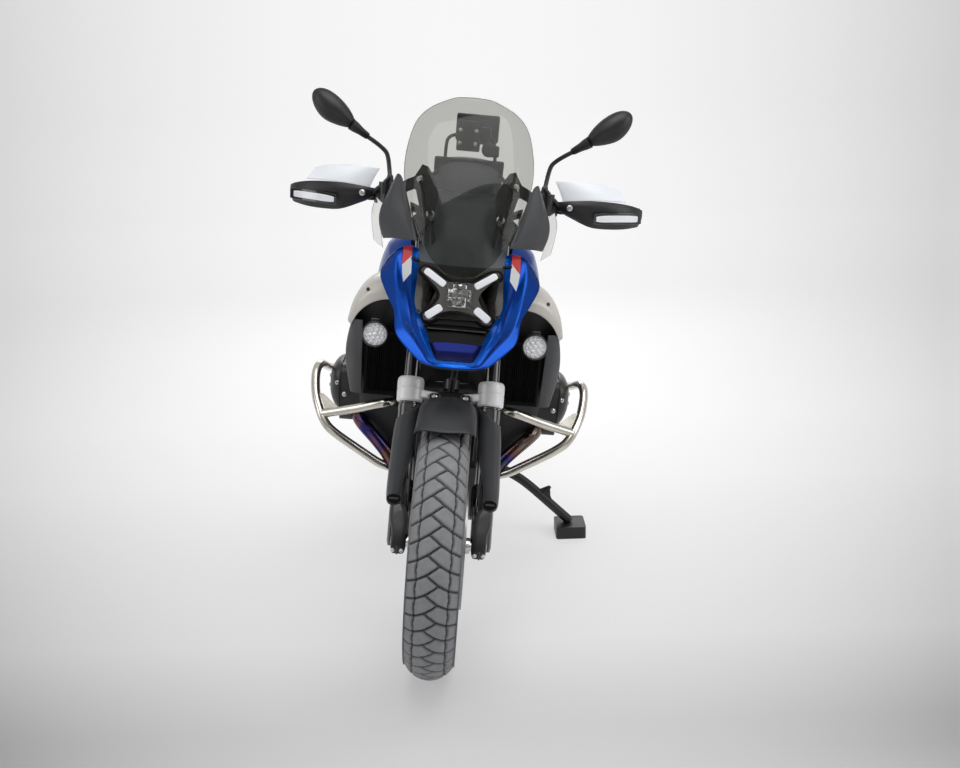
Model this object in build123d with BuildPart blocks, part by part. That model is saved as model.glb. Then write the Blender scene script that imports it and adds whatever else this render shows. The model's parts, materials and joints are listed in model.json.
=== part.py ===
"""Adventure motorcycle, parked on its side stand.

Every piece is drawn in the bike's own upright frame, in millimetres: +X to the rider's left, +Y to the rear
with zero at the front axle, +Z up with zero at the tyres' contact line. At the end the whole bike is leaned
onto its stand and moved so that the row frame's origin is the bottom centre of its box.
"""

import math
import os

from build123d import *

# ---------------------------------------------------------------- driving dimensions
WHEELBASE = 1518.0
RAKE = 26.2  # steering axis back from the vertical, degrees
TRAIL = 112.0
LEAN = 6.5  # onto the side stand, degrees
STEER_REST = -1.9  # bars turned a little to the right as it stands, degrees
RUN = 0.05  # radial clearance of a running fit
SEAT_GAP = 0.3  # clearance where pieces lie against each other
SWING = 5.0  # clearance of pieces that move past each other

FRONT_TYRE_R, FRONT_TYRE_W, FRONT_RIM_R, FRONT_RIM_W = 325.0, 122.0, 241.0, 76.0
REAR_TYRE_R, REAR_TYRE_W, REAR_RIM_R, REAR_RIM_W = 318.0, 172.0, 216.0, 114.0
FRONT_AXLE_R, REAR_AXLE_R = 12.5, 24.0
FRONT_DISC_R, FRONT_DISC_X, DISC_T = 155.0, 64.0, 5.0
REAR_DISC_R, REAR_DISC_X = 140.0, 78.0

FORK_X = 104.0  # half the distance between the fork legs
FORK_OFFSET = 25.0  # legs ahead of the steering axis
LEG_R, TUBE_R, COLLAR_R = 27.0, 20.5, 33.5
COLLAR_FROM, COLLAR_TO = 349.0, 409.0  # along the leg, from the axle's height
YOKE_FROM, YOKE_TO = 785.0, 810.0
HEAD_FROM, HEAD_TO, HEAD_R, STEM_R = 625.0, 765.0, 32.0, 12.5
BAR_ALONG, BAR_Y, BAR_Z = 853.0, 419.5, 1080.0
PIN_R = 9.0  # ball pin on the bridge, in the eye of the front arm
EYE_FROM, EYE_TO = 389.0, 415.0
BAR_R, GRIP_R, BAR_END_X = 11.0, 17.0, 472.0

CRANK_Y, CRANK_Z = 545.0, 560.0  # centre line of the two opposed cylinders
CASE_HALF, BARREL_END, HEAD_END, COVER_END = 130.0, 236.0, 312.0, 348.0
CRASH_TUBE_R = 12.5
HEADER_R = 21.0
PANEL_T = 3.0
SCREEN_T = 4.0



def crown_radius(width, share):
    """Radius of the tyre's crown arc, seen along the bike."""
    half_chord, rise = 0.46 * width, share * width
    return (half_chord**2 + rise**2) / (2 * rise)


def standing_height(radius, crown):
    """Height of an axle above the contact line, so that the leaned tyre just meets the ground."""
    return radius + crown * (1 - math.cos(math.radians(LEAN)))


FRONT_CROWN, REAR_CROWN = 0.26, 0.24  # rise of the crown arc as a share of the tyre's width
AXLE_FRONT = (0.0, 0.0, standing_height(FRONT_TYRE_R, crown_radius(FRONT_TYRE_W, FRONT_CROWN)))
AXLE_REAR = (0.0, WHEELBASE, standing_height(REAR_TYRE_R, crown_radius(REAR_TYRE_W, REAR_CROWN)))
STEER_UP = Vector(0, math.sin(math.radians(RAKE)), math.cos(math.radians(RAKE)))
STEER_FOOT = Vector(0, -TRAIL, 0)
STEER_PLANE = Plane(origin=STEER_FOOT, x_dir=(1, 0, 0), z_dir=STEER_UP)


def axis_y(z):
    """Y of the steering axis at height z."""
    return -TRAIL + z * math.tan(math.radians(RAKE))


LEG_Y = axis_y(FRONT_TYRE_R) - FORK_OFFSET / math.cos(math.radians(RAKE))


def leg_plane(x, along):
    """Plane square to a fork leg, `along` mm up it from the axle's height."""
    foot = Vector(x, LEG_Y, FRONT_TYRE_R)
    return Plane(origin=foot + STEER_UP * along, x_dir=(1, 0, 0), z_dir=STEER_UP)


def axis_plane(along):
    """Plane square to the steering axis, level with leg_plane(x, along)."""
    shift = STEER_PLANE.to_local_coords(Vector(0, LEG_Y, FRONT_TYRE_R)).Z
    return STEER_PLANE.offset(shift + along)


def station(y):
    """Cross plane at y: local x is the bike's +X and local y is up."""
    return Plane.XZ.offset(-y)


def side(x):
    """Lengthwise plane at x: local x is the bike's +Y and local y is up."""
    return Plane.YZ.offset(x)


def wheel_plane(centre, angle):
    """Radial plane of a wheel: local y points `angle` degrees behind straight up."""
    turn = math.radians(angle)
    return Plane(origin=centre, x_dir=(1, 0, 0), z_dir=(0, -math.cos(turn), math.sin(turn)))


# ---------------------------------------------------------------- shape helpers
def polyhedron(points, triangles):
    """Closed solid from points and triangles, turned so that its volume is positive."""
    volume = 0.0
    for a, b, c in triangles:
        volume += points[a].dot(points[b].cross(points[c]))
    if volume < 0:
        triangles = [(a, c, b) for a, b, c in triangles]
    faces = [Face(Wire.make_polygon([points[i] for i in t], close=True)) for t in triangles]
    return Solid(Shell(faces))


def sheet(rows, thickness, inward):
    """Faceted sheet of even thickness through a grid of points; it thickens towards `inward`."""
    grid = [[Vector(*p) for p in row] for row in rows]
    tall, wide = len(grid), len(grid[0])
    normals = []
    for i in range(tall):
        for j in range(wide):
            along = grid[min(i + 1, tall - 1)][j] - grid[max(i - 1, 0)][j]
            across = grid[i][min(j + 1, wide - 1)] - grid[i][max(j - 1, 0)]
            normals.append(along.cross(across).normalized())
    total = Vector(0, 0, 0)
    for normal in normals:
        total += normal
    turn = 1.0 if total.dot(Vector(*inward)) > 0 else -1.0
    outer = [p for row in grid for p in row]
    inner = [p + n * (turn * thickness) for p, n in zip(outer, normals)]
    count = tall * wide
    triangles = []
    for i in range(tall - 1):
        for j in range(wide - 1):
            a, b = i * wide + j, i * wide + j + 1
            c, d = a + wide, b + wide
            triangles += [(a, b, c), (b, d, c), (a + count, c + count, b + count)]
            triangles.append((b + count, c + count, d + count))
    rim = [i for i in range(wide)]
    rim += [i * wide + wide - 1 for i in range(1, tall)]
    rim += [(tall - 1) * wide + i for i in range(wide - 2, -1, -1)]
    rim += [i * wide for i in range(tall - 2, 0, -1)]
    for a, b in zip(rim, rim[1:] + rim[:1]):
        triangles += [(b, a, a + count), (b, a + count, b + count)]
    return polyhedron(outer + inner, triangles)


def both_halves(row):
    """A row of points from the centre line outwards, with its mirror image in front of it."""
    return [(-x, y, z) for x, y, z in reversed(row) if x > 0] + list(row)


def rounded_loft(sections):
    """Loft of rounded rectangles; each row is (y, x_mid, half_width, z_low, z_high, corner)."""
    with BuildPart() as body:
        for y, x_mid, half_width, z_low, z_high, corner in sections:
            with BuildSketch(station(y)):
                with Locations((x_mid, (z_low + z_high) / 2)):
                    RectangleRounded(2 * half_width, z_high - z_low, corner)
        loft(ruled=True)
    return body.part


def bent_tube(points, radius, bend):
    """Round bar along straight runs joined by arcs of radius `bend`."""
    with BuildPart() as bar:
        with BuildLine() as route:
            if len(points) > 2:
                FilletPolyline(*points, radius=bend)
            else:
                Line(*points)
        with BuildSketch(Plane(origin=route.line @ 0, z_dir=route.line % 0)):
            Circle(radius)
        sweep()
    return bar.part


def bar_between(start, end, radius):
    """Straight round bar between two points."""
    run = Vector(*end) - Vector(*start)
    with BuildPart() as bar:
        with BuildSketch(Plane(origin=start, z_dir=run)):
            Circle(radius)
        extrude(amount=run.length)
    return bar.part


def turned(outline, centre):
    """Solid of revolution about a cross axle; the outline is (x, radius) points."""
    with BuildPart() as body:
        with BuildSketch(Plane(origin=centre, x_dir=(1, 0, 0), z_dir=(0, -1, 0))):
            with BuildLine():
                Polyline(*outline, close=True)
            make_face()
        revolve(axis=Axis(centre, (1, 0, 0)))
    return body.part


def tyre(centre, radius, width, rim_radius, rim_width, crown_share):
    """Tyre: round crown, bulged sidewalls and beads on the rim's seat."""
    wall_r = rim_radius + 0.5 * (radius - rim_radius)
    shoulder = (0.46 * width, radius - crown_share * width)
    bead = (rim_width / 2 - SEAT_GAP, rim_radius + SEAT_GAP)
    foot = (rim_width / 2 - SEAT_GAP, rim_radius + 16)
    heel = (rim_width / 2 + 9, rim_radius + 16)
    with BuildPart() as body:
        with BuildSketch(Plane(origin=centre, x_dir=(1, 0, 0), z_dir=(0, -1, 0))):
            with BuildLine():
                ThreePointArc((-shoulder[0], shoulder[1]), (0, radius), shoulder)
                ThreePointArc(shoulder, (width / 2, wall_r), heel)
                Polyline(heel, foot, bead, (-bead[0], bead[1]), (-foot[0], foot[1]), (-heel[0], heel[1]))
                ThreePointArc((-heel[0], heel[1]), (-width / 2, wall_r), (-shoulder[0], shoulder[1]))
            make_face()
        revolve(axis=Axis(centre, (1, 0, 0)))
    return body.part


def rim(centre, rim_radius, rim_width, hub_radius, hub_half, bore, spoke_x, lip):
    """Cast wheel: barrel with flanges, five pairs of spokes and a bored hub."""
    half = rim_width / 2
    well = rim_radius - 20
    outline = [
        (-half - 7, well + 8),
        (-half - 7, rim_radius + lip),
        (-half, rim_radius + lip),
        (-half, rim_radius),
        (half, rim_radius),
        (half, rim_radius + lip),
        (half + 7, rim_radius + lip),
        (half + 7, well + 8),
        (half - 14, well),
        (14 - half, well),
    ]
    with BuildPart() as wheel:
        add(turned(outline, centre))
        with BuildSketch(Plane(origin=centre, z_dir=(1, 0, 0)).offset(-hub_half)):
            Circle(hub_radius)
        extrude(amount=2 * hub_half)
        for pair in range(5):
            for lean_out in (-13, 13):
                angle = math.radians(72 * pair)
                splay = math.radians(72 * pair + lean_out)
                inner = (hub_radius - 6) * 1.0
                outer = well + 5
                start = Vector(centre) + Vector(spoke_x, inner * math.cos(angle), inner * math.sin(angle))
                end = Vector(centre) + Vector(0, outer * math.cos(splay), outer * math.sin(splay))
                cross = Plane(origin=start, x_dir=(1, 0, 0), z_dir=end - start)
                with BuildSketch(cross):
                    RectangleRounded(28, 19, 5)
                extrude(amount=(end - start).length)
        with BuildSketch(Plane(origin=centre, z_dir=(1, 0, 0)).offset(-hub_half)):
            Circle(bore)
        extrude(amount=2 * hub_half, mode=Mode.SUBTRACT)
    return wheel.part


def brake_disc(x, centre, outer, inner, hub):
    """Brake rotor with its carrier arms."""
    middle = Vector(*centre) + Vector(x - DISC_T / 2, 0, 0)
    with BuildPart() as disc:
        with BuildSketch(Plane(origin=middle, z_dir=(1, 0, 0))):
            Circle(outer)
            Circle(inner, mode=Mode.SUBTRACT)
            Circle(hub)
            with PolarLocations((inner + hub) / 2, 6):
                Rectangle(inner - hub + 12, 16)
            with PolarLocations((outer + inner) / 2, 18, start_angle=10):
                Circle(4.5, mode=Mode.SUBTRACT)
            Circle(hub - 18, mode=Mode.SUBTRACT)
        extrude(amount=DISC_T)
    return disc.part


# ================================================================ wheels
with BuildPart() as front_tyre:
    add(tyre(AXLE_FRONT, FRONT_TYRE_R, FRONT_TYRE_W, FRONT_RIM_R, FRONT_RIM_W, FRONT_CROWN))

with BuildPart() as front_rim:
    add(rim(AXLE_FRONT, FRONT_RIM_R, FRONT_RIM_W, 44, FRONT_DISC_X - DISC_T / 2, FRONT_AXLE_R + RUN, 0, 13))

with BuildPart() as front_discs:
    add(brake_disc(FRONT_DISC_X, AXLE_FRONT, FRONT_DISC_R, 118, 50))
    mirror(about=Plane.YZ)

with BuildPart() as rear_tyre:
    add(tyre(AXLE_REAR, REAR_TYRE_R, REAR_TYRE_W, REAR_RIM_R, REAR_RIM_W, REAR_CROWN))

with BuildPart() as rear_rim:
    add(rim(AXLE_REAR, REAR_RIM_R, REAR_RIM_W, 62, REAR_DISC_X - DISC_T / 2, REAR_AXLE_R + RUN, 20, 14))

with BuildPart() as rear_disc:
    add(brake_disc(REAR_DISC_X, AXLE_REAR, REAR_DISC_R, 104, 62))

# ================================================================ fork and steering
with BuildPart() as front_axle:
    # spacers between the hub and the legs
    with BuildSketch(side(FRONT_DISC_X - DISC_T / 2 + SEAT_GAP)):
        with Locations((0, AXLE_FRONT[2])):
            Circle(20)
    extrude(amount=FORK_X - LEG_R - FRONT_DISC_X + DISC_T / 2 - SEAT_GAP)
    with BuildSketch(side(0)):
        with Locations((0, AXLE_FRONT[2])):
            Circle(FRONT_AXLE_R)
    extrude(amount=FORK_X)
    mirror(about=Plane.YZ)

LEG_FROM = -20.0
LUG_OUTLINE = [
    (-24, 302),
    (-28, 314),
    (-24, 330),
    (-18, 345),
    (-7, 362),
    (6, 378),
    (22, 400),
    (34, 413),
    (66, 413),
    (50, 378),
    (38, 350),
    (32, 325),
    (28, 306),
    (10, 299),
]

with BuildPart() as fork_legs:
    with BuildSketch(leg_plane(FORK_X, LEG_FROM)):
        Circle(LEG_R)
    extrude(amount=COLLAR_FROM - LEG_FROM)
    # axle lug, ahead of the leg, with the pinch slot's two ears
    with BuildSketch(side(FORK_X - LEG_R)):
        with Locations((0, FRONT_TYRE_R)):
            Circle(30)
        with BuildLine():
            Polyline(*LUG_OUTLINE, close=True)
        make_face()
    extrude(amount=2 * LEG_R - 6)
    # caliper bracket behind the leg
    with BuildSketch(side(FORK_X - 8)):
        with BuildLine():
            Polyline((30, 330), (112, 352), (118, 418), (70, 440), close=True)
        make_face()
    extrude(amount=12)
    with BuildSketch(Plane(origin=AXLE_FRONT, z_dir=(1, 0, 0))):
        Circle(FRONT_AXLE_R)
    extrude(amount=FORK_X, mode=Mode.SUBTRACT)
    mirror(about=Plane.YZ)

with BuildPart() as fork_tubes:
    with BuildSketch(leg_plane(FORK_X, COLLAR_TO)):
        Circle(TUBE_R)
    extrude(amount=YOKE_FROM - COLLAR_TO)
    mirror(about=Plane.YZ)

with BuildPart() as fork_bridge:
    with BuildSketch(leg_plane(FORK_X, COLLAR_FROM)):
        Circle(COLLAR_R)
    extrude(amount=COLLAR_TO - COLLAR_FROM)
    with BuildSketch(leg_plane(FORK_X, (COLLAR_FROM + COLLAR_TO) / 2 - 3)):
        Circle(COLLAR_R + 1.5)
    extrude(amount=6)
    with BuildSketch(axis_plane(COLLAR_FROM + 4)):
        with BuildLine():
            Polyline((-1, 20), (-1, -16), (40, -22), (FORK_X - 20, -44), (FORK_X - 8, -8), (44, 2), close=True)
        make_face()
    extrude(amount=26)
    mirror(about=Plane.YZ)
    with BuildSketch(axis_plane(COLLAR_FROM)):
        Circle(23)
    extrude(amount=EYE_FROM - 6 - COLLAR_FROM)
    with BuildSketch(axis_plane(COLLAR_FROM + 20)):
        Circle(PIN_R)
    extrude(amount=30)
    # ball pin that stands in the front arm's eye
    with BuildSketch(axis_plane(COLLAR_FROM + 40)):
        Circle(PIN_R)
    extrude(amount=EYE_TO + 6 - COLLAR_FROM - 40)

with BuildPart() as top_yoke:
    with BuildSketch(axis_plane(YOKE_FROM)):
        with BuildLine():
            Polyline(
                (-FORK_X - 24, 26 - FORK_OFFSET),
                (-60, 22),
                (60, 22),
                (FORK_X + 24, 26 - FORK_OFFSET),
                (FORK_X + 24, -FORK_OFFSET - 20),
                (50, -26),
                (-50, -26),
                (-FORK_X - 24, -FORK_OFFSET - 20),
                close=True,
            )
        make_face()
    extrude(amount=YOKE_TO - YOKE_FROM)
    # risers and clamps that hold the bar
    with BuildSketch(axis_plane(YOKE_TO)):
        with Locations((-40, 0), (40, 0)):
            RectangleRounded(32, 40, 8)
    extrude(amount=BAR_ALONG - YOKE_TO + 20)
    # stem that turns in the head tube
    with BuildSketch(axis_plane(HEAD_FROM + 4)):
        Circle(STEM_R)
    extrude(amount=YOKE_FROM - HEAD_FROM - 4)
    with BuildSketch(axis_plane(HEAD_TO + 0.5)):
        Circle(30)
    extrude(amount=YOKE_FROM - HEAD_TO - 0.5)
    for sign in (-1, 1):
        with BuildSketch(leg_plane(sign * FORK_X, YOKE_FROM)):
            Circle(TUBE_R)
        extrude(amount=YOKE_TO - YOKE_FROM, mode=Mode.SUBTRACT)
        with BuildSketch(leg_plane(sign * FORK_X, YOKE_TO)):
            Circle(TUBE_R + 3)
        extrude(amount=7)

BAR_ROUTE = [
    (-BAR_END_X, 545, 1125),
    (-290, 518, 1125),
    (-175, 440, 1118),
    (-70, BAR_Y, BAR_Z),
    (70, BAR_Y, BAR_Z),
    (175, 440, 1118),
    (290, 518, 1125),
    (BAR_END_X, 545, 1125),
]

with BuildPart() as handlebar:
    add(bent_tube(BAR_ROUTE, BAR_R, 38))
with BuildPart() as top_yoke_cut:
    add(top_yoke.part)
    add(handlebar.part, mode=Mode.SUBTRACT)
top_yoke.part = top_yoke_cut.part

with BuildPart() as levers:
    # clutch and brake lever with perch and master cylinder
    add(bent_tube([(236, 492, 1122), (256, 462, 1120), (330, 472, 1122), (440, 490, 1119)], 6, 12))
    with BuildSketch(Plane(origin=(226, 470, 1122), x_dir=(0.82, 0.57, 0), z_dir=(0, 0, 1))):
        RectangleRounded(44, 36, 8)
    extrude(amount=14, both=True)
    with BuildSketch(Plane(origin=(222, 466, 1122), z_dir=(0, 0, 1))):
        Circle(18)
    extrude(amount=44)
    mirror(about=Plane.YZ)
    add(handlebar.part, mode=Mode.SUBTRACT)

with BuildPart() as grips:
    add(bar_between((302, 519.8, 1125), (470, 544.7, 1125), GRIP_R))
    mirror(about=Plane.YZ)
    add(handlebar.part, mode=Mode.SUBTRACT)

# rows from the top down, points from the bar's inner end outwards
GUARD_X = [(266, 300, 345, 420, 468, 489), (272, 303, 350, 424, 470, 491)]
GUARD_X += [(292, 318, 356, 424, 466, 486), (318, 339, 368, 422, 456, 480)]
GUARD_Y = [(450, 441, 438, 458, 488, 512), (440, 430, 427, 447, 478, 508)]
GUARD_Y += [(446, 440, 440, 456, 482, 508), (470, 466, 464, 474, 492, 510)]
GUARD_Z = [(1151, 1156, 1160, 1157, 1148, 1138), (1138, 1138, 1136, 1131, 1126, 1118)]
GUARD_Z += [(1114, 1108, 1104, 1102, 1102, 1102), (1092, 1083, 1081, 1082, 1086, 1091)]
GUARD_ROWS = [list(zip(*row)) for row in zip(GUARD_X, GUARD_Y, GUARD_Z)]

with BuildPart() as hand_guards:
    add(sheet(GUARD_ROWS, 4, (0, 1, 0)))
    # end piece that bolts to the bar's end
    add(bar_between((BAR_END_X + SEAT_GAP, 545, 1125), (488, 545, 1125), 14))
    add(bar_between((481, 546, 1125), (479, 500, 1120), 7))
    # inner clamp
    add(bar_between((280, 440, 1128), (268, 506, 1124), 6))
    mirror(about=Plane.YZ)
    add(handlebar.part, mode=Mode.SUBTRACT)
    add(levers.part, mode=Mode.SUBTRACT)

SPOILER_ROWS = [
    [(266, 449, 1152), (300, 440, 1157), (345, 437, 1161), (404, 452, 1159)],
    [(260, 452, 1180), (297, 446, 1187), (345, 445, 1190), (409, 468, 1176)],
    [(256, 460, 1206), (294, 458, 1212), (345, 464, 1210), (413, 490, 1187)],
]

with BuildPart() as guard_spoilers:
    add(sheet(SPOILER_ROWS, PANEL_T, (0, 1, 0)))
    mirror(about=Plane.YZ)
    add(hand_guards.part, mode=Mode.SUBTRACT)

MIRROR_OUTLINE = [
    (304, 1298),
    (340, 1298),
    (368, 1306),
    (396, 1316),
    (418, 1338),
    (430, 1366),
    (430, 1388),
    (412, 1399),
    (386, 1397),
    (356, 1379),
    (330, 1354),
    (311, 1325),
]

with BuildPart() as mirrors:
    with BuildSketch(Plane(origin=(0, 470, 0), x_dir=(1, 0, 0), z_dir=(0, -1, 0))):
        with BuildLine():
            Polyline(*MIRROR_OUTLINE, close=True)
        make_face()
    extrude(amount=22, taper=32)
    with BuildSketch(Plane(origin=(0, 470, 0), x_dir=(1, 0, 0), z_dir=(0, -1, 0))):
        with BuildLine():
            Polyline(*MIRROR_OUTLINE, close=True)
        make_face()
    extrude(amount=-8)
    add(bent_tube([(206, 458, 1126), (217, 500, 1186), (234, 500, 1252), (312, 472, 1304)], 6.5, 14))
    mirror(about=Plane.YZ)
    add(handlebar.part, mode=Mode.SUBTRACT)
    add(levers.part, mode=Mode.SUBTRACT)

with BuildPart() as front_calipers:
    with BuildSketch(side(40)):
        with Locations((0, AXLE_FRONT[2])):
            with Locations((116, 74)):
                Rectangle(64, 92, rotation=32)
    extrude(amount=FORK_X - 8 - SEAT_GAP - 40)
    with BuildSketch(side(FRONT_DISC_X - 6)):
        with Locations((0, AXLE_FRONT[2])):
            Circle(FRONT_DISC_R + 3)
    extrude(amount=12, mode=Mode.SUBTRACT)
    mirror(about=Plane.YZ)
    add(fork_legs.part, mode=Mode.SUBTRACT)

FENDER_IN, FENDER_T = FRONT_TYRE_R + 19.0, 3.5
FENDER_SECTION = [
    (-80, -30),
    (-76, -14),
    (-62, -3),
    (-30, 0),
    (30, 0),
    (62, -3),
    (76, -14),
    (80, -30),
]

with BuildPart() as front_fender:
    # arc over the tyre, from ahead of the crown to behind the legs
    with BuildSketch(wheel_plane(AXLE_FRONT, -19)):
        with BuildLine():
            outer = [(x, FENDER_IN + FENDER_T + drop) for x, drop in FENDER_SECTION]
            inner = [(x * 0.955, FENDER_IN + drop) for x, drop in reversed(FENDER_SECTION)]
            Polyline(*outer, *inner, close=True)
        make_face()
    revolve(axis=Axis(AXLE_FRONT, (-1, 0, 0)), revolution_arc=86)
    # covers around the front of the legs, outside the discs
    for sign in (-1, 1):
        with BuildSketch(leg_plane(sign * FORK_X, 92)):
            Circle(LEG_R + 12)
            Circle(LEG_R + 2, mode=Mode.SUBTRACT)
            with Locations((0, LEG_R + 2)):
                Rectangle(4 * LEG_R, 2 * LEG_R, mode=Mode.SUBTRACT)
            with Locations((-sign * (LEG_R + 12), 0)):
                Rectangle(24, 4 * LEG_R, mode=Mode.SUBTRACT)
        extrude(amount=200)
    with BuildSketch(leg_plane(-FORK_X, 292), leg_plane(FORK_X, 292)):
        Circle(LEG_R + 12)
    extrude(amount=22)
    with BuildSketch(leg_plane(-FORK_X, 40), leg_plane(FORK_X, 40)):
        Circle(LEG_R + SEAT_GAP)
    extrude(amount=300, mode=Mode.SUBTRACT)
    add(fork_legs.part, mode=Mode.SUBTRACT)

FORK_NODES = [front_axle, fork_legs, fork_tubes, fork_bridge, top_yoke, handlebar, levers, grips]
FORK_NODES += [hand_guards, guard_spoilers, mirrors, front_calipers, front_fender]

# ================================================================ engine and driveline
CASE_OUTLINE = [
    (430, 400),
    (450, 320),
    (500, 300),
    (719, 300),
    (719, 600),
    (640, 650),
    (500, 650),
    (446, 580),
]

with BuildPart() as engine_block:
    with BuildSketch(side(-CASE_HALF)):
        with BuildLine():
            Polyline(*CASE_OUTLINE, close=True)
        make_face()
    extrude(amount=2 * CASE_HALF)
    with BuildSketch(side(-117.7)):
        with BuildLine():
            Polyline((715, 300), (900, 318), (930, 360), (930, 520), (850, 560), (715, 590), close=True)
        make_face()
    extrude(amount=2 * 117.7)
    with BuildSketch(station(430)):
        with Locations((0, 480)):
            RectangleRounded(190, 230, 60)
    extrude(amount=22)

with BuildPart() as frame:
    # head tube
    with BuildSketch(axis_plane(HEAD_FROM)):
        Circle(HEAD_R)
    extrude(amount=HEAD_TO - HEAD_FROM)
    for sign in (-1, 1):
        add(bar_between((sign * 20, 352, 918), (sign * 112, 492, 722), 15))
        add(bar_between((sign * 112, 480, 722), (sign * 106, 760, 718), 15))
        add(bar_between((sign * 20, 378, 960), (sign * 60, 470, 735), 11))
        with BuildSketch(side(118 if sign > 0 else -128)):
            with BuildLine():
                Polyline(
                    (664, 700),
                    (740, 790),
                    (830, 800),
                    (862, 650),
                    (962, 530),
                    (988, 430),
                    (955, 380),
                    (892, 398),
                    (860, 490),
                    (770, 610),
                    (680, 672),
                    close=True,
                )
            make_face()
        extrude(amount=10)
    # swing arm pivot, rear engine bolt and cross bars
    for y, z, radius, reach in ((957, 430, 16, 164), (846, 640, 12, 122), (800, 745, 12, 122)):
        with BuildSketch(side(-122)):
            with Locations((y, z)):
                Circle(radius)
        extrude(amount=122 + reach)
    # stem bore
    with BuildSketch(axis_plane(HEAD_FROM)):
        Circle(STEM_R + RUN)
    extrude(amount=HEAD_TO - HEAD_FROM, mode=Mode.SUBTRACT)

FIN_X = [148.0, 163.0, 178.0, 193.0, 208.0, 223.0]

with BuildPart() as cylinders:
    # barrel with its cooling fins, and the head beyond it
    with BuildSketch(side(CASE_HALF + SEAT_GAP)):
        with Locations((CRANK_Y, CRANK_Z)):
            RectangleRounded(128, 122, 22)
    extrude(amount=BARREL_END - CASE_HALF)
    for fin_x in FIN_X:
        with BuildSketch(side(fin_x)):
            with Locations((CRANK_Y, CRANK_Z)):
                RectangleRounded(158, 152, 26)
        extrude(amount=5)
    with BuildSketch(side(BARREL_END)):
        with Locations((CRANK_Y, CRANK_Z)):
            RectangleRounded(176, 164, 30)
    extrude(amount=HEAD_END - BARREL_END)
    # intake duct from the back of the head to the frame
    add(bent_tube([(272, 620, 596), (262, 668, 616), (205, 722, 668), (122, 776, 704)], 22, 24))
    mirror(about=Plane.YZ)
    add(frame.part, mode=Mode.SUBTRACT)

with BuildPart() as head_covers:
    with BuildSketch(side(HEAD_END + SEAT_GAP)):
        with Locations((CRANK_Y, CRANK_Z)):
            RectangleRounded(190, 178, 44)
    extrude(amount=COVER_END - HEAD_END - SEAT_GAP, taper=26)
    mirror(about=Plane.YZ)

SKID_OUTLINE = [(338, 408), (352, 300), (376, 250), (424, 218), (744, 218), (756, 232)]

with BuildPart() as skid_plate:
    with BuildSketch(side(-112)):
        with BuildLine():
            back = [(351, 404), (362, 303), (383, 256), (427, 226), (741, 226), (748, 237)]
            Polyline(*SKID_OUTLINE, *reversed(back), close=True)
        make_face()
    extrude(amount=224)
    # posts up to the crankcase
    with BuildSketch(Plane.XY.offset(225)):
        with Locations((-104, 690), (104, 690), (-60, 510), (60, 510)):
            Circle(7)
    extrude(amount=74.7)

COLLECTOR = [
    (548, 0, 62, 240, 284, 18),
    (600, 0, 88, 238, 286, 20),
    (688, 0, 88, 238, 286, 20),
    (720, -30, 50, 240, 284, 18),
]
LINK_PIPE = [
    (-30, 712, 262),
    (-66, 760, 262),
    (-168, 900, 268),
    (-206, 1010, 330),
    (-214, 1090, 358),
]

with BuildPart() as headers:
    for sign in (-1, 1):
        add(
            bent_tube(
                [
                    (sign * 262, 462.5, 508),
                    (sign * 256, 408, 494),
                    (sign * 170, 452, 380),
                    (sign * 142, 500, 262),
                    (sign * 44, 570, 262),
                ],
                HEADER_R,
                36,
            )
        )
    add(rounded_loft(COLLECTOR))
    add(bent_tube(LINK_PIPE, 24, 50))
    add(cylinders.part, mode=Mode.SUBTRACT)
    add(skid_plate.part, mode=Mode.SUBTRACT)

with BuildPart() as silencer:
    with BuildSketch(Plane(origin=(-212, 1085, 356), x_dir=(1, 0, 0), z_dir=(-0.08, 0.945, 0.315))):
        RectangleRounded(60, 70, 24)
    with BuildSketch(Plane(origin=(-222, 1190, 391), x_dir=(1, 0, 0), z_dir=(-0.08, 0.945, 0.315))):
        RectangleRounded(112, 158, 40)
    with BuildSketch(Plane(origin=(-248, 1500, 494), x_dir=(1, 0, 0), z_dir=(-0.08, 0.945, 0.315))):
        RectangleRounded(104, 146, 38)
    with BuildSketch(Plane(origin=(-254, 1568, 517), x_dir=(1, 0, 0), z_dir=(-0.08, 0.945, 0.315))):
        RectangleRounded(76, 96, 30)
    loft(ruled=True)
    # open outlet
    with BuildSketch(Plane(origin=(-254, 1568, 517), x_dir=(1, 0, 0), z_dir=(-0.08, 0.945, 0.315))):
        Circle(24)
    extrude(amount=-60, mode=Mode.SUBTRACT)
    # hanger to the footrest plate
    add(bent_tube([(-190, 1180, 440), (-170, 1150, 500), (-142, 1120, 540)], 8, 12))
    add(headers.part, mode=Mode.SUBTRACT)

with BuildPart() as front_arm:
    # eye on the steering axis, above the bridge, and the two legs back to the crankcase
    with BuildSketch(axis_plane(EYE_FROM)):
        Circle(22)
    extrude(amount=EYE_TO - EYE_FROM)
    for sign in (-1, 1):
        add(bar_between((sign * 8, 240, 664), (sign * 112, 470, 600), 14))
        add(bar_between((sign * 112, 462, 602), (sign * 112, 500, 590), 18))
    add(bar_between((-64, 364, 630), (64, 364, 630), 10))
    with BuildSketch(axis_plane(EYE_FROM - 10)):
        Circle(PIN_R + RUN)
    extrude(amount=60, mode=Mode.SUBTRACT)
    with BuildSketch(axis_plane(EYE_FROM - 60)):
        Circle(40)
    extrude(amount=60, mode=Mode.SUBTRACT)
    add(engine_block.part, mode=Mode.SUBTRACT)

REAR_ARM_OUTLINE = [
    (930, 398),
    (930, 462),
    (1010, 476),
    (1190, 440),
    (1446, 372),
    (1446, 282),
    (1180, 352),
    (1000, 384),
]
DRIVE_OUTLINE = [
    (96, 26),
    (96, 72),
    (112, 86),
    (158, 86),
    (178, 66),
    (186, 30),
    (186, 0),
    (170, 0),
    (170, 24),
    (100, 24),
]

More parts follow.
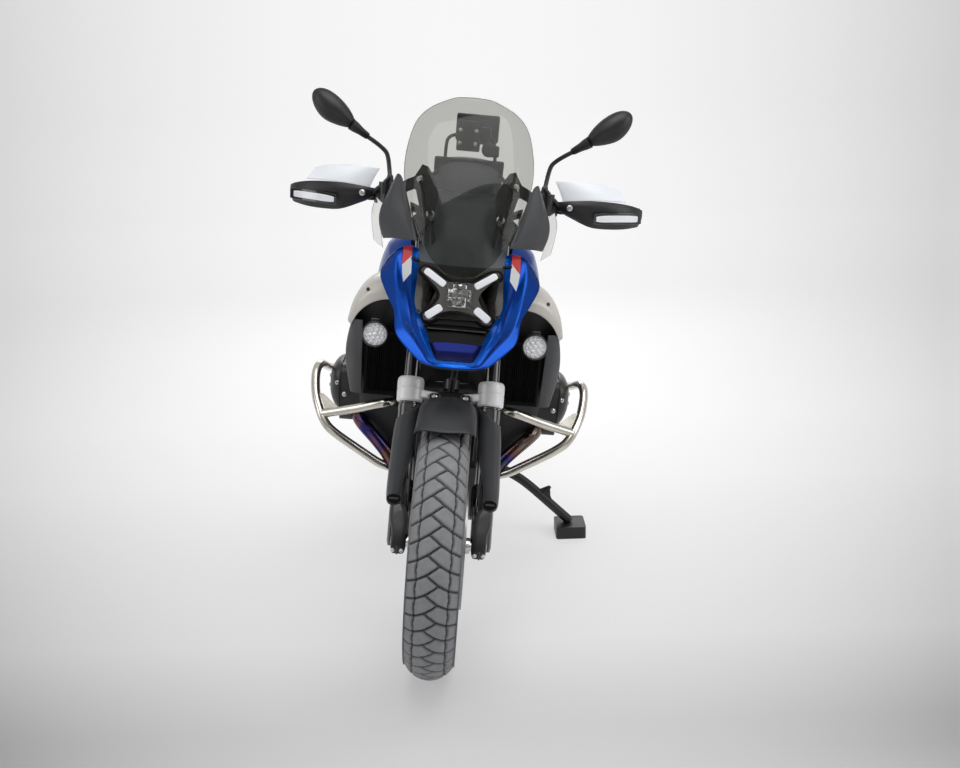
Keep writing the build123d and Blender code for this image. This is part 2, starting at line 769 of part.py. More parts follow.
with BuildPart() as final_drive:
    add(
        turned(
            DRIVE_OUTLINE,
            AXLE_REAR,
        )
    )
    # stub axle with spacer and outer nut
    add(
        turned(
            [
                (172, 0),
                (172, REAR_AXLE_R),
                (98, REAR_AXLE_R),
                (98, 34),
                (76, 34),
                (76, REAR_AXLE_R),
                (-76, REAR_AXLE_R),
                (-76, 36),
                (-92, 36),
                (-98, 20),
                (-98, 0),
            ],
            AXLE_REAR,
        )
    )
    # lug for the caliper
    with BuildSketch(side(98)):
        with Locations((AXLE_REAR[1], AXLE_REAR[2])):
            with Locations((-78, 88)):
                Rectangle(40, 60, rotation=42)
    extrude(amount=14)

with BuildPart() as rear_caliper:
    with BuildSketch(side(60)):
        with Locations((AXLE_REAR[1], AXLE_REAR[2])):
            with Locations((-90, 100)):
                Rectangle(88, 62, rotation=42)
    extrude(amount=37.7)
    with BuildSketch(side(REAR_DISC_X - 5.5)):
        with Locations((AXLE_REAR[1], AXLE_REAR[2])):
            Circle(REAR_DISC_R + 3)
    extrude(amount=11, mode=Mode.SUBTRACT)

with BuildPart() as swing_arm:
    with BuildSketch(side(128.3)):
        with Locations((957, 430)):
            Circle(40)
    extrude(amount=38)
    with BuildSketch(side(108)):
        with BuildLine():
            Polyline(*REAR_ARM_OUTLINE, close=True)
        make_face()
    extrude(amount=54)
    # clear of the frame plate, and bored for the pivot
    with BuildSketch(side(100)):
        with Locations((957, 430)):
            Rectangle(84, 160)
    extrude(amount=28.3, mode=Mode.SUBTRACT)
    with BuildSketch(side(100)):
        with Locations((957, 430)):
            Circle(16)
    extrude(amount=70, mode=Mode.SUBTRACT)
    # shock mount
    add(bar_between((110, 1068, 420), (70, 1068, 420), 12))
    add(final_drive.part, mode=Mode.SUBTRACT)

with BuildPart() as rear_shock:
    add(bar_between((48, 1066, 424), (30, 1004, 560), 15))
    add(bar_between((44, 1050, 460), (26, 986, 600), 34))
    add(bar_between((28, 992, 586), (8, 866, 760 - 60), 22))
    with BuildSketch(side(34)):
        with Locations((1068, 420)):
            Circle(22)
    extrude(amount=36)
    add(bar_between((8, 880, 690), (0, 846, 652), 16))
    add(frame.part, mode=Mode.SUBTRACT)
    add(swing_arm.part, mode=Mode.SUBTRACT)

HUGGER_SECTION = [
    (-90, 296),
    (-84, 322),
    (-50, 334),
    (50, 334),
    (84, 322),
    (97, 296),
    (93, 295),
    (81, 319),
    (48, 330.5),
    (-48, 330.5),
    (-81, 319),
    (-87, 295),
]

with BuildPart() as rear_hugger:
    with BuildSketch(wheel_plane(AXLE_REAR, -72)):
        with BuildLine():
            Polyline(*HUGGER_SECTION, close=True)
        make_face()
    revolve(axis=Axis(AXLE_REAR, (-1, 0, 0)), revolution_arc=78)
    # stay to the swing arm
    add(bar_between((92, 1232, 440), (118, 1236, 424), 9))
    add(swing_arm.part, mode=Mode.SUBTRACT)

# ================================================================ front bodywork
CARRIER_ROWS = [
    (60, 786, 44),
    (92, 815, 62),
    (146, 866, 84),
    (176, 900, 98),
    (200, 940, 104),
    (222, 985, 96),
    (246, 1040, 88),
    (268, 1098, 84),
]

BEAK_HALF = [
    ((0, 14, 789), (0, 0, 783), (0, -7, 775)),
    ((30, 14, 787), (36, 0, 781), (50, -4, 776)),
    ((51, 20, 786), (62, 4, 781), (87, 10, 784)),
    ((70, 62, 815), (88, 35, 812), (149, 60, 837)),
    ((92, 115, 856), (112, 90, 862), (165, 110, 870)),
    ((110, 160, 900), (128, 140, 905), (180, 160, 905)),
    ((107, 190, 940), (130, 180, 945), (204, 230, 945)),
    ((104, 220, 980), (128, 215, 985), (190, 270, 975)),
    ((106, 245, 1005), (128, 250, 1008), (165, 300, 998)),
]

UNDER_HALF = [
    [(0, 2, 770), (44, 4, 771), (80, 18, 778)],
    [(0, 80, 774), (50, 80, 778), (118, 74, 818)],
    [(0, 148, 786), (50, 148, 794), (118, 140, 846)],
]

LAMP_V = Vector(0, 0.329, 0.944)
LAMP_N = Vector(0, -0.944, 0.329)
LAMP = Plane(origin=(0, 150, 923), x_dir=(1, 0, 0), z_dir=LAMP_N)

# right half of the cross, from its upper notch round to its lower one
LAMP_CROSS = [
    (24, 34),
    (60, 66),
    (100, 66),
    (104, 40),
    (72, 0),
    (90, -48),
    (80, -68),
    (52, -68),
    (22, -40),
]

with BuildPart() as headlamp:
    # cross-shaped housing with its dark surround
    with BuildSketch(LAMP.offset(-34)):
        with BuildLine():
            Polyline(*LAMP_CROSS, *[(-u, v) for u, v in reversed(LAMP_CROSS)], close=True)
        make_face()
    extrude(amount=30)
    surround = [both_halves([(0, y, z), (w / 2, y, z), (w, y + 6, z)]) for y, z, w in CARRIER_ROWS]
    add(sheet(surround, PANEL_T, (0, 1, 0)))

LIGHT_BAR = [(38, 20), (48, 14), (102, 50), (94, 64)]
LOW_BAR = [(40, -20), (32, -32), (70, -66), (84, -58)]

with BuildPart() as light_bars:
    with BuildSketch(LAMP.offset(-4 + SEAT_GAP)):
        for outline in (LIGHT_BAR, LOW_BAR):
            with BuildLine():
                Polyline(*outline, close=True)
            make_face()
    extrude(amount=9)
    mirror(about=Plane.YZ)

with BuildPart() as headlamp_lens:
    with BuildSketch(LAMP.offset(-4 + SEAT_GAP)):
        RectangleRounded(60, 44, 9)
    extrude(amount=15, taper=22)

with BuildPart() as beak:
    other_half = [[(-x, y, z) for x, y, z in row] for row in reversed(BEAK_HALF[1:])]
    add(sheet(other_half + BEAK_HALF, PANEL_T, (0, 1, 0.2)))
    add(headlamp.part, mode=Mode.SUBTRACT)

with BuildPart() as beak_underside:
    add(sheet([both_halves(row) for row in UNDER_HALF], PANEL_T, (0, 0, 1)))
    add(beak.part, mode=Mode.SUBTRACT)
    add(headlamp.part, mode=Mode.SUBTRACT)

with BuildPart() as front_carrier:
    # plate behind the lamp, and two arms back to the head tube inside the fork's sweep
    with BuildSketch(Plane(origin=(0, 226, 960), x_dir=(1, 0, 0), z_dir=(0, -0.93, 0.367))):
        with Locations((0, 4)):
            Rectangle(150, 150)
    extrude(amount=4)
    for sign in (-1, 1):
        add(bar_between((sign * 20, 328, 935), (sign * 20, 205, 912), 9))
        add(bar_between((sign * 20, 344, 974), (sign * 20, 240, 986), 9))
        # outriggers to the side panels, ahead of the fork's sweep
        add(bent_tube([(sign * 62, 200, 905), (sign * 138, 222, 898), (sign * 208, 330, 890)], 6, 30))
        # screen stalks
        add(bent_tube([(sign * 74, 245, 1012), (sign * 88, 236, 1110), (sign * 112, 268, 1206)], 6, 30))
        add(bar_between((sign * 88, 246, 1108), (sign * 84, 186, 1102), 5))
        add(bar_between((sign * 108, 262, 1190), (sign * 118, 240, 1184), 5))
        # arms to the display
        add(bar_between((sign * 108, 262, 1188), (sign * 84, 418, 1206), 6))
        # stalks to the deflectors and clear winglets
        add(bar_between((sign * 86, 238, 1080), (sign * 166, 266, 1096), 5))
        # stays to the beak's blades
        add(bar_between((sign * 72, 162, 873), (sign * 118, 123, 882), 5))
        add(bar_between((sign * 78, 244, 984), (sign * 128, 226, 994), 5))
    add(frame.part, mode=Mode.SUBTRACT)
    add(headlamp.part, mode=Mode.SUBTRACT)

# rows from the bottom up: centre y, centre z, edge x, edge y, edge z
SCREEN_ROWS = [
    (153, 967, 40, 157, 973),
    (160, 1000, 78, 165, 1003),
    (170, 1045, 108, 190, 1047),
    (188, 1108, 140, 232, 1112),
    (222, 1195, 171, 290, 1203),
    (262, 1270, 160, 338, 1288),
    (312, 1335, 145, 372, 1340),
    (350, 1375, 105, 380, 1376),
    (384, 1401, 50, 388, 1397),
]


def screen_row(mid_y, mid_z, edge_x, edge_y, edge_z):
    """One row of the screen: flat in the middle, creased at 0.72 of its half-width."""
    row = []
    for share in (0.0, 0.36, 0.72, 1.0):
        bulge = share**1.7
        row.append((edge_x * share, mid_y + (edge_y - mid_y) * bulge, mid_z + (edge_z - mid_z) * share))
    return both_halves(row)


WINGLET = [
    [(216, 352, 1010), (236, 362, 1024)],
    [(222, 356, 1050), (248, 378, 1092)],
    [(214, 352, 1130), (232, 368, 1126)],
]

with BuildPart() as screen:
    add(sheet([screen_row(*row) for row in SCREEN_ROWS], SCREEN_T, (0, 1, 0)))
    # clear winglets beside the deflectors
    for sign in (-1, 1):
        add(sheet([[(sign * x, y, z) for x, y, z in row] for row in WINGLET], SCREEN_T, (0, 1, 0)))

DEFLECTOR = [
    [(118, 215, 1050), (180, 274, 1040), (206, 306, 1036)],
    [(136, 240, 1096), (194, 288, 1094), (224, 316, 1080)],
    [(152, 266, 1134), (200, 298, 1130), (208, 318, 1136)],
    [(166, 298, 1192), (178, 306, 1196), (182, 318, 1202)],
]

with BuildPart() as deflectors:
    for sign in (-1, 1):
        add(sheet([[(sign * x, y, z) for x, y, z in row] for row in DEFLECTOR], PANEL_T, (0, 1, 0)))
        add(bar_between((sign * 206, 300, 1080), (sign * 232, 362, 1080), 5))
    add(screen.part, mode=Mode.SUBTRACT)

SILVER = [
    [(175, 260, 869), (200, 285, 915), (206, 420, 930), (190, 560, 905)],
    [(215, 275, 868), (235, 300, 905), (236, 430, 915), (215, 570, 890)],
    [(245, 290, 850), (262, 330, 888), (256, 450, 890), (228, 580, 865)],
    [(265, 305, 825), (280, 345, 860), (268, 460, 855), (238, 585, 835)],
    [(283, 330, 795), (290, 350, 800), (276, 470, 805), (242, 590, 800)],
]

with BuildPart() as side_panels:
    for sign in (-1, 1):
        add(sheet([[(sign * x, y, z) for x, y, z in row] for row in SILVER], PANEL_T, (-sign, 0.6, -0.4)))
    add(beak.part, mode=Mode.SUBTRACT)

RADIATOR_X, RADIATOR_Y, RADIATOR_Z = (132.0, 234.0), (292.0, 328.0), (614.0, 788.0)
RADIATOR_FINS = 14

with BuildPart() as radiators:
    width, height = RADIATOR_X[1] - RADIATOR_X[0], RADIATOR_Z[1] - RADIATOR_Z[0]
    mid_x, mid_z = sum(RADIATOR_X) / 2, sum(RADIATOR_Z) / 2
    with BuildSketch(station(RADIATOR_Y[1])):
        with Locations((mid_x, mid_z)):
            Rectangle(width, height)
    extrude(amount=RADIATOR_Y[1] - RADIATOR_Y[0])
    with BuildSketch(station(RADIATOR_Y[0])):
        with Locations((mid_x, mid_z)):
            Rectangle(width - 16, height - 24)
    extrude(amount=-14, mode=Mode.SUBTRACT)
    with BuildSketch(station(RADIATOR_Y[0] + 15)):
        with Locations((mid_x, mid_z)):
            with GridLocations((width - 16) / RADIATOR_FINS, 1, RADIATOR_FINS, 1):
                Rectangle(1.6, height - 20)
    extrude(amount=13)
    # bracket to the frame's beam
    add(bar_between((152, 322, 752), (108, 486, 722), 7))
    mirror(about=Plane.YZ)
    add(frame.part, mode=Mode.SUBTRACT)

SHROUD = [
    [(246, 300, 800), (278, 330, 796), (272, 420, 795), (258, 520, 790)],
    [(246, 290, 714), (293, 350, 714), (284, 440, 712), (268, 540, 700)],
    [(240, 300, 604), (250, 330, 598), (249, 382, 610), (246, 425, 644)],
]

with BuildPart() as shrouds:
    for sign in (-1, 1):
        add(sheet([[(sign * x, y, z) for x, y, z in row] for row in SHROUD], PANEL_T, (-sign, 0, 0)))
        add(bar_between((sign * 226, 318, 744), (sign * 282, 352, 744), 6))
        add(bar_between((sign * 226, 318, 650), (sign * 262, 334, 650), 6))
        add(bar_between((sign * 272, 400, 780), (sign * 276, 400, 830), 6))
    add(radiators.part, mode=Mode.SUBTRACT)
    add(side_panels.part, mode=Mode.SUBTRACT)

with BuildPart() as fog_lamps:
    with BuildSketch(station(246)):
        with Locations((207, 796)):
            Circle(30)
    extrude(amount=40, taper=4)
    add(bent_tube([(207, 236, 796), (207, 276, 790), (205, 306, 770)], 7, 10))
    mirror(about=Plane.YZ)
    add(radiators.part, mode=Mode.SUBTRACT)

with BuildPart() as crash_bars:
    for sign in (-1, 1):
        add(
            bent_tube(
                [
                    (sign * 112, 454, 350),
                    (sign * 166, 400, 366),
                    (sign * 316, 352, 472),
                    (sign * 350, 372, 528),
                    (sign * 384, 448, 562),
                    (sign * 380, 500, 640),
                    (sign * 374, 640, 640),
                    (sign * 300, 704, 556),
                    (sign * 118, 704, 500),
                ],
                CRASH_TUBE_R,
                24,
            )
        )
        cross_arm = [(346, 368, 522), (190, 303, 584), (146, 340, 584), (116, 480, 546)]
        add(bent_tube([(sign * x, y, z) for x, y, z in cross_arm], CRASH_TUBE_R, 24))
    add(engine_block.part, mode=Mode.SUBTRACT)

# ================================================================ display
with BuildPart() as display:
    with BuildSketch(Plane(origin=(0, 430, 1212), x_dir=(1, 0, 0), z_dir=(0, 0.82, 0.57))):
        RectangleRounded(186, 92, 12)
    extrude(amount=12, both=True)
    # bar over the display with the navigator on it
    add(bent_tube([(-64, 424, 1206), (-61, 430, 1294), (58, 430, 1295), (71, 424, 1192)], 5.5, 26))
    with BuildSketch(station(441)):
        with Locations((17, 1316)):
            RectangleRounded(113, 90, 10)
    extrude(amount=24)
    with BuildSketch(station(420)):
        with Locations((54, 1266)):
            RectangleRounded(46, 34, 8)
    extrude(amount=-26)
    add(front_carrier.part, mode=Mode.SUBTRACT)

front_carrier_cut = [screen, deflectors, side_panels, beak]
with BuildPart() as front_carrier_fitted:
    add(front_carrier.part)
    for neighbour in front_carrier_cut:
        add(neighbour.part, mode=Mode.SUBTRACT)
front_carrier.part = front_carrier_fitted.part

# ================================================================ tank, seats and tail
TANK = [
    (487, 0, 104, 738, 950, 40),
    (530, 0, 146, 738, 1010, 58),
    (620, 0, 162, 738, 1050, 60),
    (720, 0, 142, 738, 1025, 55),
    (806, 0, 96, 738, 930, 35),
]

with BuildPart() as tank:
    add(rounded_loft(TANK))
    with BuildSketch(Plane.XY.offset(1020)):
        with Locations((0, 610)):
            Circle(34)
    extrude(amount=38)
    add(frame.part, mode=Mode.SUBTRACT)

TANK_PANEL = [
    [(135, 480, 975), (188, 472, 955), (215, 470, 905)],
    [(150, 560, 1030), (205, 560, 990), (232, 560, 905)],
    [(150, 660, 1035), (205, 660, 985), (228, 660, 890)],
    [(110, 760, 990), (170, 760, 930), (190, 760, 850)],
]

with BuildPart() as tank_panels:
    for sign in (-1, 1):
        add(sheet([[(sign * x, y, z) for x, y, z in row] for row in TANK_PANEL], PANEL_T, (-sign, 0, -0.5)))
        add(bar_between((sign * 150, 600, 900), (sign * 231, 600, 920), 7))
    add(tank.part, mode=Mode.SUBTRACT)
    add(side_panels.part, mode=Mode.SUBTRACT)

RIDER_SEAT = [
    (812, 0, 78, 850, 928, 25),
    (880, 0, 108, 834, 884, 20),
    (1000, 0, 148, 830, 868, 17),
    (1146, 0, 158, 835, 905, 22),
]
PASSENGER_SEAT = [
    (1154, 0, 150, 868, 930, 24),
    (1300, 0, 138, 884, 946, 24),
    (1436, 0, 104, 896, 946, 20),
]

with BuildPart() as seats:
    add(rounded_loft(RIDER_SEAT))
    add(rounded_loft(PASSENGER_SEAT))

with BuildPart() as rear_frame:
    for sign in (-1, 1):
        add(
            bent_tube(
                [
                    (sign * 105, 790, 768),
                    (sign * 105, 900, 795),
                    (sign * 95, 1150, 812),
                    (sign * 85, 1441, 870),
                ],
                12.7,
                60,
            )
        )
        add(bar_between((sign * 105, 950, 548), (sign * 96, 1240, 822), 12.7))
    for y, z, half in ((905, 790, 104), (1160, 812, 92), (1400, 860, 84)):
        add(bar_between((-half, y, z), (half, y, z), 10))
    # rests for the seats
    for x, y, z in ((60, 906, 790), (60, 1160, 812), (50, 1400, 860)):
        add(bar_between((x, y, z), (x, y, z + 84), 9))
        add(bar_between((-x, y, z), (-x, y, z + 84), 9))
    add(seats.part, mode=Mode.SUBTRACT)
    add(frame.part, mode=Mode.SUBTRACT)
    add(tank.part, mode=Mode.SUBTRACT)

TAIL = [
    (1441.3, 0, 106, 848, 893, 20),
    (1560, 0, 92, 856, 926, 26),
    (1640, 0, 78, 866, 924, 24),
    (1706, 0, 56, 880, 914, 14),
]
SIDE_COVER = [
    (702, 750),
    (760, 842),
    (1040, 846),
    (1130, 820),
    (1010, 700),
    (880, 640),
    (780, 664),
]

with BuildPart() as rear_covers:
    # tail fairing
    add(rounded_loft(TAIL))
    # covers below the rider's seat
    with BuildSketch(side(128.3)):
        with BuildLine():
            Polyline(*SIDE_COVER, close=True)
        make_face()
    extrude(amount=9)
    with BuildSketch(side(-137.3)):
        with BuildLine():
            Polyline(*SIDE_COVER, close=True)
        make_face()
    extrude(amount=9)
    add(cylinders.part, mode=Mode.SUBTRACT)
    add(seats.part, mode=Mode.SUBTRACT)
    add(tank.part, mode=Mode.SUBTRACT)
    add(rear_frame.part, mode=Mode.SUBTRACT)

with BuildPart() as luggage_rack:
    with BuildSketch(Plane.XY.offset(946)):
        with Locations((0, 1580)):
            RectangleRounded(190, 250, 30)
            with GridLocations(62, 80, 2, 2):
                RectangleRounded(34, 56, 10, mode=Mode.SUBTRACT)
    extrude(amount=8)
    # posts down to the tail fairing
    with BuildSketch(Plane.XY.offset(905)):
        with Locations((-50, 1500), (50, 1500), (-40, 1640), (40, 1640)):
            Circle(9)
    extrude(amount=42)
    # grab rails
    for sign in (-1, 1):
        add(
            bent_tube(
                [
                    (sign * 118, 1260, 852),
                    (sign * 168, 1290, 905),
                    (sign * 172, 1400, 938),
                    (sign * 130, 1560, 950),
                    (sign * 86, 1640, 950),
                ],
                10,
                26,
            )
        )
        add(bar_between((sign * 92, 1256, 834), (sign * 122, 1262, 856), 9))
    add(rear_covers.part, mode=Mode.SUBTRACT)
    add(rear_frame.part, mode=Mode.SUBTRACT)
    add(seats.part, mode=Mode.SUBTRACT)

with BuildPart() as tail_lights:
    with BuildSketch(station(1706.3)):
        with Locations((0, 897)):
            RectangleRounded(104, 28, 9)
    extrude(amount=-16, taper=12)
    # indicators on short stalks
    for sign in (-1, 1):
        add(bar_between((sign * 60, 1650, 884), (sign * 128, 1664, 884), 6))
        with BuildSketch(Plane(origin=(sign * 150, 1648, 884), x_dir=(1, 0, 0), z_dir=(0, 1, 0))):
            RectangleRounded(62, 28, 10)
        extrude(amount=32)
    add(rear_covers.part, mode=Mode.SUBTRACT)

PLATE_ARM = [
    (1590, 868),
    (1650, 872),
    (1752, 806),
    (1872, 770),
    (1884, 600),
    (1876, 599),
    (1860, 752),
    (1738, 780),
    (1640, 838),
]

with BuildPart() as plate_holder:
    with BuildSketch(side(-22)):
        with BuildLine():
            Polyline(*PLATE_ARM, close=True)
        make_face()
    extrude(amount=44)
    # plate, blank, on its carrier
    with BuildSketch(Plane(origin=(0, 1876, 676), x_dir=(1, 0, 0), z_dir=(0, 0.997, 0.07))):
        RectangleRounded(180, 176, 8)
    extrude(amount=4)
    add(rear_covers.part, mode=Mode.SUBTRACT)

# ================================================================ footrests, pedals and stand
with BuildPart() as footrests:
    for sign in (-1, 1):
        add(bar_between((sign * 124, 905, 412), (sign * 168, 896, 398), 12))
        with BuildSketch(Plane(origin=(sign * 226, 894, 396), x_dir=(1, 0, 0), z_dir=(0, 0, 1))):
            RectangleRounded(128, 44, 8)
        extrude(amount=10, both=True)
        # passenger's footrest on its hanger
        add(bent_tube([(sign * 126, 955, 505), (sign * 140, 1040, 540), (sign * 146, 1150, 545)], 9, 20))
        add(bar_between((sign * 140, 1130, 545), (sign * 252, 1146, 545), 11))
    # brake pedal on the right, gear pedal on the left
    add(bent_tube([(-126, 895, 402), (-150, 870, 372), (-150, 770, 330), (-206, 758, 330)], 7, 14))
    add(bent_tube([(126, 895, 402), (150, 880, 392), (156, 790, 352), (208, 750, 366)], 7, 14))
    add(frame.part, mode=Mode.SUBTRACT)
    add(swing_arm.part, mode=Mode.SUBTRACT)
    add(silencer.part, mode=Mode.SUBTRACT)

STAND_PIVOT = Vector(150, 815, 262)
STAND_AXIS = Vector(0.5, 0.1, 0.86).normalized()
STAND = Plane(origin=STAND_PIVOT, x_dir=(0, 1, -0.1163), z_dir=STAND_AXIS)
EYE_T, PIVOT_R = 14.0, 8.0
GROUND_RISE = math.tan(math.radians(LEAN))
FOOT_X, FOOT_Y = 440.0, 779.0
FOOT_UP = Vector(-math.sin(math.radians(LEAN)), 0, math.cos(math.radians(LEAN)))

with BuildPart() as stand_bracket:
    # pivot lug above the leg's eye, with its pin and head
    with BuildSketch(STAND.offset(EYE_T / 2 + SEAT_GAP)):
        Circle(20)
    extrude(amount=14)
    with BuildSketch(STAND.offset(-EYE_T / 2 - SEAT_GAP - 6)):
        Circle(PIVOT_R)
    extrude(amount=EYE_T + 16)
    with BuildSketch(STAND.offset(-EYE_T / 2 - SEAT_GAP - 6)):
        Circle(14)
    extrude(amount=6)
    # arm up to the gearbox
    with BuildSketch(side(98)):
        with BuildLine():
            Polyline((772, 272), (858, 272), (872, 322), (860, 380), (790, 380), (762, 318), close=True)
        make_face()
    extrude(amount=44)
    add(engine_block.part, mode=Mode.SUBTRACT)
    # clear of the eye's sweep
    with BuildSketch(STAND.offset(-60)):
        Circle(32)
    extrude(amount=60 + EYE_T / 2 + SEAT_GAP, mode=Mode.SUBTRACT)
    with BuildSketch(STAND.offset(-EYE_T / 2 - SEAT_GAP - 6)):
        Circle(PIVOT_R)
    extrude(amount=EYE_T + 16)
    with BuildSketch(STAND.offset(-EYE_T / 2 - SEAT_GAP - 6)):
        Circle(14)
    extrude(amount=6)

with BuildPart() as side_stand:
    with BuildSketch(STAND.offset(-EYE_T / 2)):
        Circle(20)
    extrude(amount=EYE_T)
    add(bent_tube([(160, 814, 258), (272, 798, 214), (436, 779, 92)], 12.5, 60))
    add(bar_between((330, 790, 172), (356, 776, 208), 6))
    # foot block flat on the ground
    ground = Plane(origin=(FOOT_X, FOOT_Y, FOOT_X * GROUND_RISE), x_dir=(1, 0, GROUND_RISE), z_dir=FOOT_UP)
    with BuildSketch(ground):
        RectangleRounded(98, 100, 10)
    extrude(amount=40)
    with BuildSketch(STAND.offset(-60)):
        Circle(PIVOT_R + RUN)
    extrude(amount=120, mode=Mode.SUBTRACT)
    with BuildSketch(STAND.offset(EYE_T / 2)):
        Circle(34)
    extrude(amount=40, mode=Mode.SUBTRACT)
    with BuildSketch(STAND.offset(-EYE_T / 2)):
        Circle(22)
    extrude(amount=-40, mode=Mode.SUBTRACT)

# ================================================================ placing and writing
FRONT_WHEEL_NODES = [front_tyre, front_rim, front_discs]
for piece in FRONT_WHEEL_NODES + FORK_NODES:
    piece.part = piece.part.rotate(Axis(STEER_FOOT, STEER_UP), STEER_REST)

PIECES = [
    front_tyre,
    front_rim,
    front_discs,
    rear_tyre,
    rear_rim,
    rear_disc,
    front_axle,
    fork_legs,
    fork_tubes,
    fork_bridge,
    top_yoke,
    handlebar,
    levers,
    grips,
    hand_guards,
    guard_spoilers,
    mirrors,
    front_calipers,
    front_fender,
    engine_block,
    cylinders,
    head_covers,
    skid_plate,
    headers,
    silencer,
    frame,
    front_arm,
    final_drive,
    rear_caliper,
    swing_arm,
    rear_shock,
    rear_hugger,
    headlamp,
    light_bars,
    headlamp_lens,
    beak,
    beak_underside,
    front_carrier,
    screen,
    deflectors,
    side_panels,
    radiators,
    shrouds,
    fog_lamps,
    crash_bars,
    display,
    tank,
    tank_panels,
    seats,
    rear_frame,
    rear_covers,
    luggage_rack,
    tail_lights,
    plate_holder,
    footrests,
    stand_bracket,
    side_stand,
]

leaned = [Rot(0, LEAN, 0) * piece.part for piece in PIECES]
boxes = [part.bounding_box() for part in leaned]
low = [min(getattr(b.min, axis) for b in boxes) for axis in "XYZ"]
high = [max(getattr(b.max, axis) for b in boxes) for axis in "XYZ"]
shift = Vector(-(low[0] + high[0]) / 2, -(low[1] + high[1]) / 2, -low[2])
PARKED = Pos(*shift) * Rot(0, LEAN, 0)
for piece in PIECES:
    piece.part = PARKED * piece.part
print("box", [round(h - l, 1) for l, h in zip(low, high)], "shift", shift)

os.makedirs("parts", exist_ok=True)

front_tyre.part.label = "front_tyre"
export_step(front_tyre.part, "parts/front_tyre.step")
front_rim.part.label = "front_rim"
export_step(front_rim.part, "parts/front_rim.step")
front_discs.part.label = "front_discs"
export_step(front_discs.part, "parts/front_discs.step")
rear_tyre.part.label = "rear_tyre"
export_step(rear_tyre.part, "parts/rear_tyre.step")
rear_rim.part.label = "rear_rim"
export_step(rear_rim.part, "parts/rear_rim.step")
rear_disc.part.label = "rear_disc"
export_step(rear_disc.part, "parts/rear_disc.step")
front_axle.part.label = "front_axle"
export_step(front_axle.part, "parts/front_axle.step")
fork_legs.part.label = "fork_legs"
export_step(fork_legs.part, "parts/fork_legs.step")
fork_tubes.part.label = "fork_tubes"
export_step(fork_tubes.part, "parts/fork_tubes.step")
fork_bridge.part.label = "fork_bridge"
export_step(fork_bridge.part, "parts/fork_bridge.step")
top_yoke.part.label = "top_yoke"
export_step(top_yoke.part, "parts/top_yoke.step")
handlebar.part.label = "handlebar"
export_step(handlebar.part, "parts/handlebar.step")
levers.part.label = "levers"
export_step(levers.part, "parts/levers.step")
grips.part.label = "grips"
export_step(grips.part, "parts/grips.step")
hand_guards.part.label = "hand_guards"
export_step(hand_guards.part, "parts/hand_guards.step")
guard_spoilers.part.label = "guard_spoilers"
export_step(guard_spoilers.part, "parts/guard_spoilers.step")
mirrors.part.label = "mirrors"
export_step(mirrors.part, "parts/mirrors.step")
front_calipers.part.label = "front_calipers"
export_step(front_calipers.part, "parts/front_calipers.step")
front_fender.part.label = "front_fender"
export_step(front_fender.part, "parts/front_fender.step")
engine_block.part.label = "engine_block"
export_step(engine_block.part, "parts/engine_block.step")
cylinders.part.label = "cylinders"
export_step(cylinders.part, "parts/cylinders.step")
head_covers.part.label = "head_covers"
export_step(head_covers.part, "parts/head_covers.step")
skid_plate.part.label = "skid_plate"
export_step(skid_plate.part, "parts/skid_plate.step")
headers.part.label = "headers"
export_step(headers.part, "parts/headers.step")
silencer.part.label = "silencer"
export_step(silencer.part, "parts/silencer.step")
frame.part.label = "frame"
export_step(frame.part, "parts/frame.step")
front_arm.part.label = "front_arm"
export_step(front_arm.part, "parts/front_arm.step")
final_drive.part.label = "final_drive"
export_step(final_drive.part, "parts/final_drive.step")
rear_caliper.part.label = "rear_caliper"
export_step(rear_caliper.part, "parts/rear_caliper.step")
swing_arm.part.label = "swing_arm"
export_step(swing_arm.part, "parts/swing_arm.step")
rear_shock.part.label = "rear_shock"
export_step(rear_shock.part, "parts/rear_shock.step")
rear_hugger.part.label = "rear_hugger"
export_step(rear_hugger.part, "parts/rear_hugger.step")
headlamp.part.label = "headlamp"
export_step(headlamp.part, "parts/headlamp.step")
light_bars.part.label = "light_bars"
export_step(light_bars.part, "parts/light_bars.step")
headlamp_lens.part.label = "headlamp_lens"
export_step(headlamp_lens.part, "parts/headlamp_lens.step")
beak.part.label = "beak"
export_step(beak.part, "parts/beak.step")
beak_underside.part.label = "beak_underside"
export_step(beak_underside.part, "parts/beak_underside.step")
front_carrier.part.label = "front_carrier"
export_step(front_carrier.part, "parts/front_carrier.step")
screen.part.label = "screen"
export_step(screen.part, "parts/screen.step")
deflectors.part.label = "deflectors"
export_step(deflectors.part, "parts/deflectors.step")
side_panels.part.label = "side_panels"
export_step(side_panels.part, "parts/side_panels.step")
radiators.part.label = "radiators"
export_step(radiators.part, "parts/radiators.step")
shrouds.part.label = "shrouds"
export_step(shrouds.part, "parts/shrouds.step")
fog_lamps.part.label = "fog_lamps"
export_step(fog_lamps.part, "parts/fog_lamps.step")
crash_bars.part.label = "crash_bars"
export_step(crash_bars.part, "parts/crash_bars.step")
display.part.label = "display"
export_step(display.part, "parts/display.step")
tank.part.label = "tank"
export_step(tank.part, "parts/tank.step")
tank_panels.part.label = "tank_panels"
export_step(tank_panels.part, "parts/tank_panels.step")
seats.part.label = "seats"
export_step(seats.part, "parts/seats.step")
rear_frame.part.label = "rear_frame"
export_step(rear_frame.part, "parts/rear_frame.step")
rear_covers.part.label = "rear_covers"
export_step(rear_covers.part, "parts/rear_covers.step")
luggage_rack.part.label = "luggage_rack"
export_step(luggage_rack.part, "parts/luggage_rack.step")
tail_lights.part.label = "tail_lights"
export_step(tail_lights.part, "parts/tail_lights.step")
plate_holder.part.label = "plate_holder"
export_step(plate_holder.part, "parts/plate_holder.step")
footrests.part.label = "footrests"
export_step(footrests.part, "parts/footrests.step")
stand_bracket.part.label = "stand_bracket"
export_step(stand_bracket.part, "parts/stand_bracket.step")
side_stand.part.label = "side_stand"
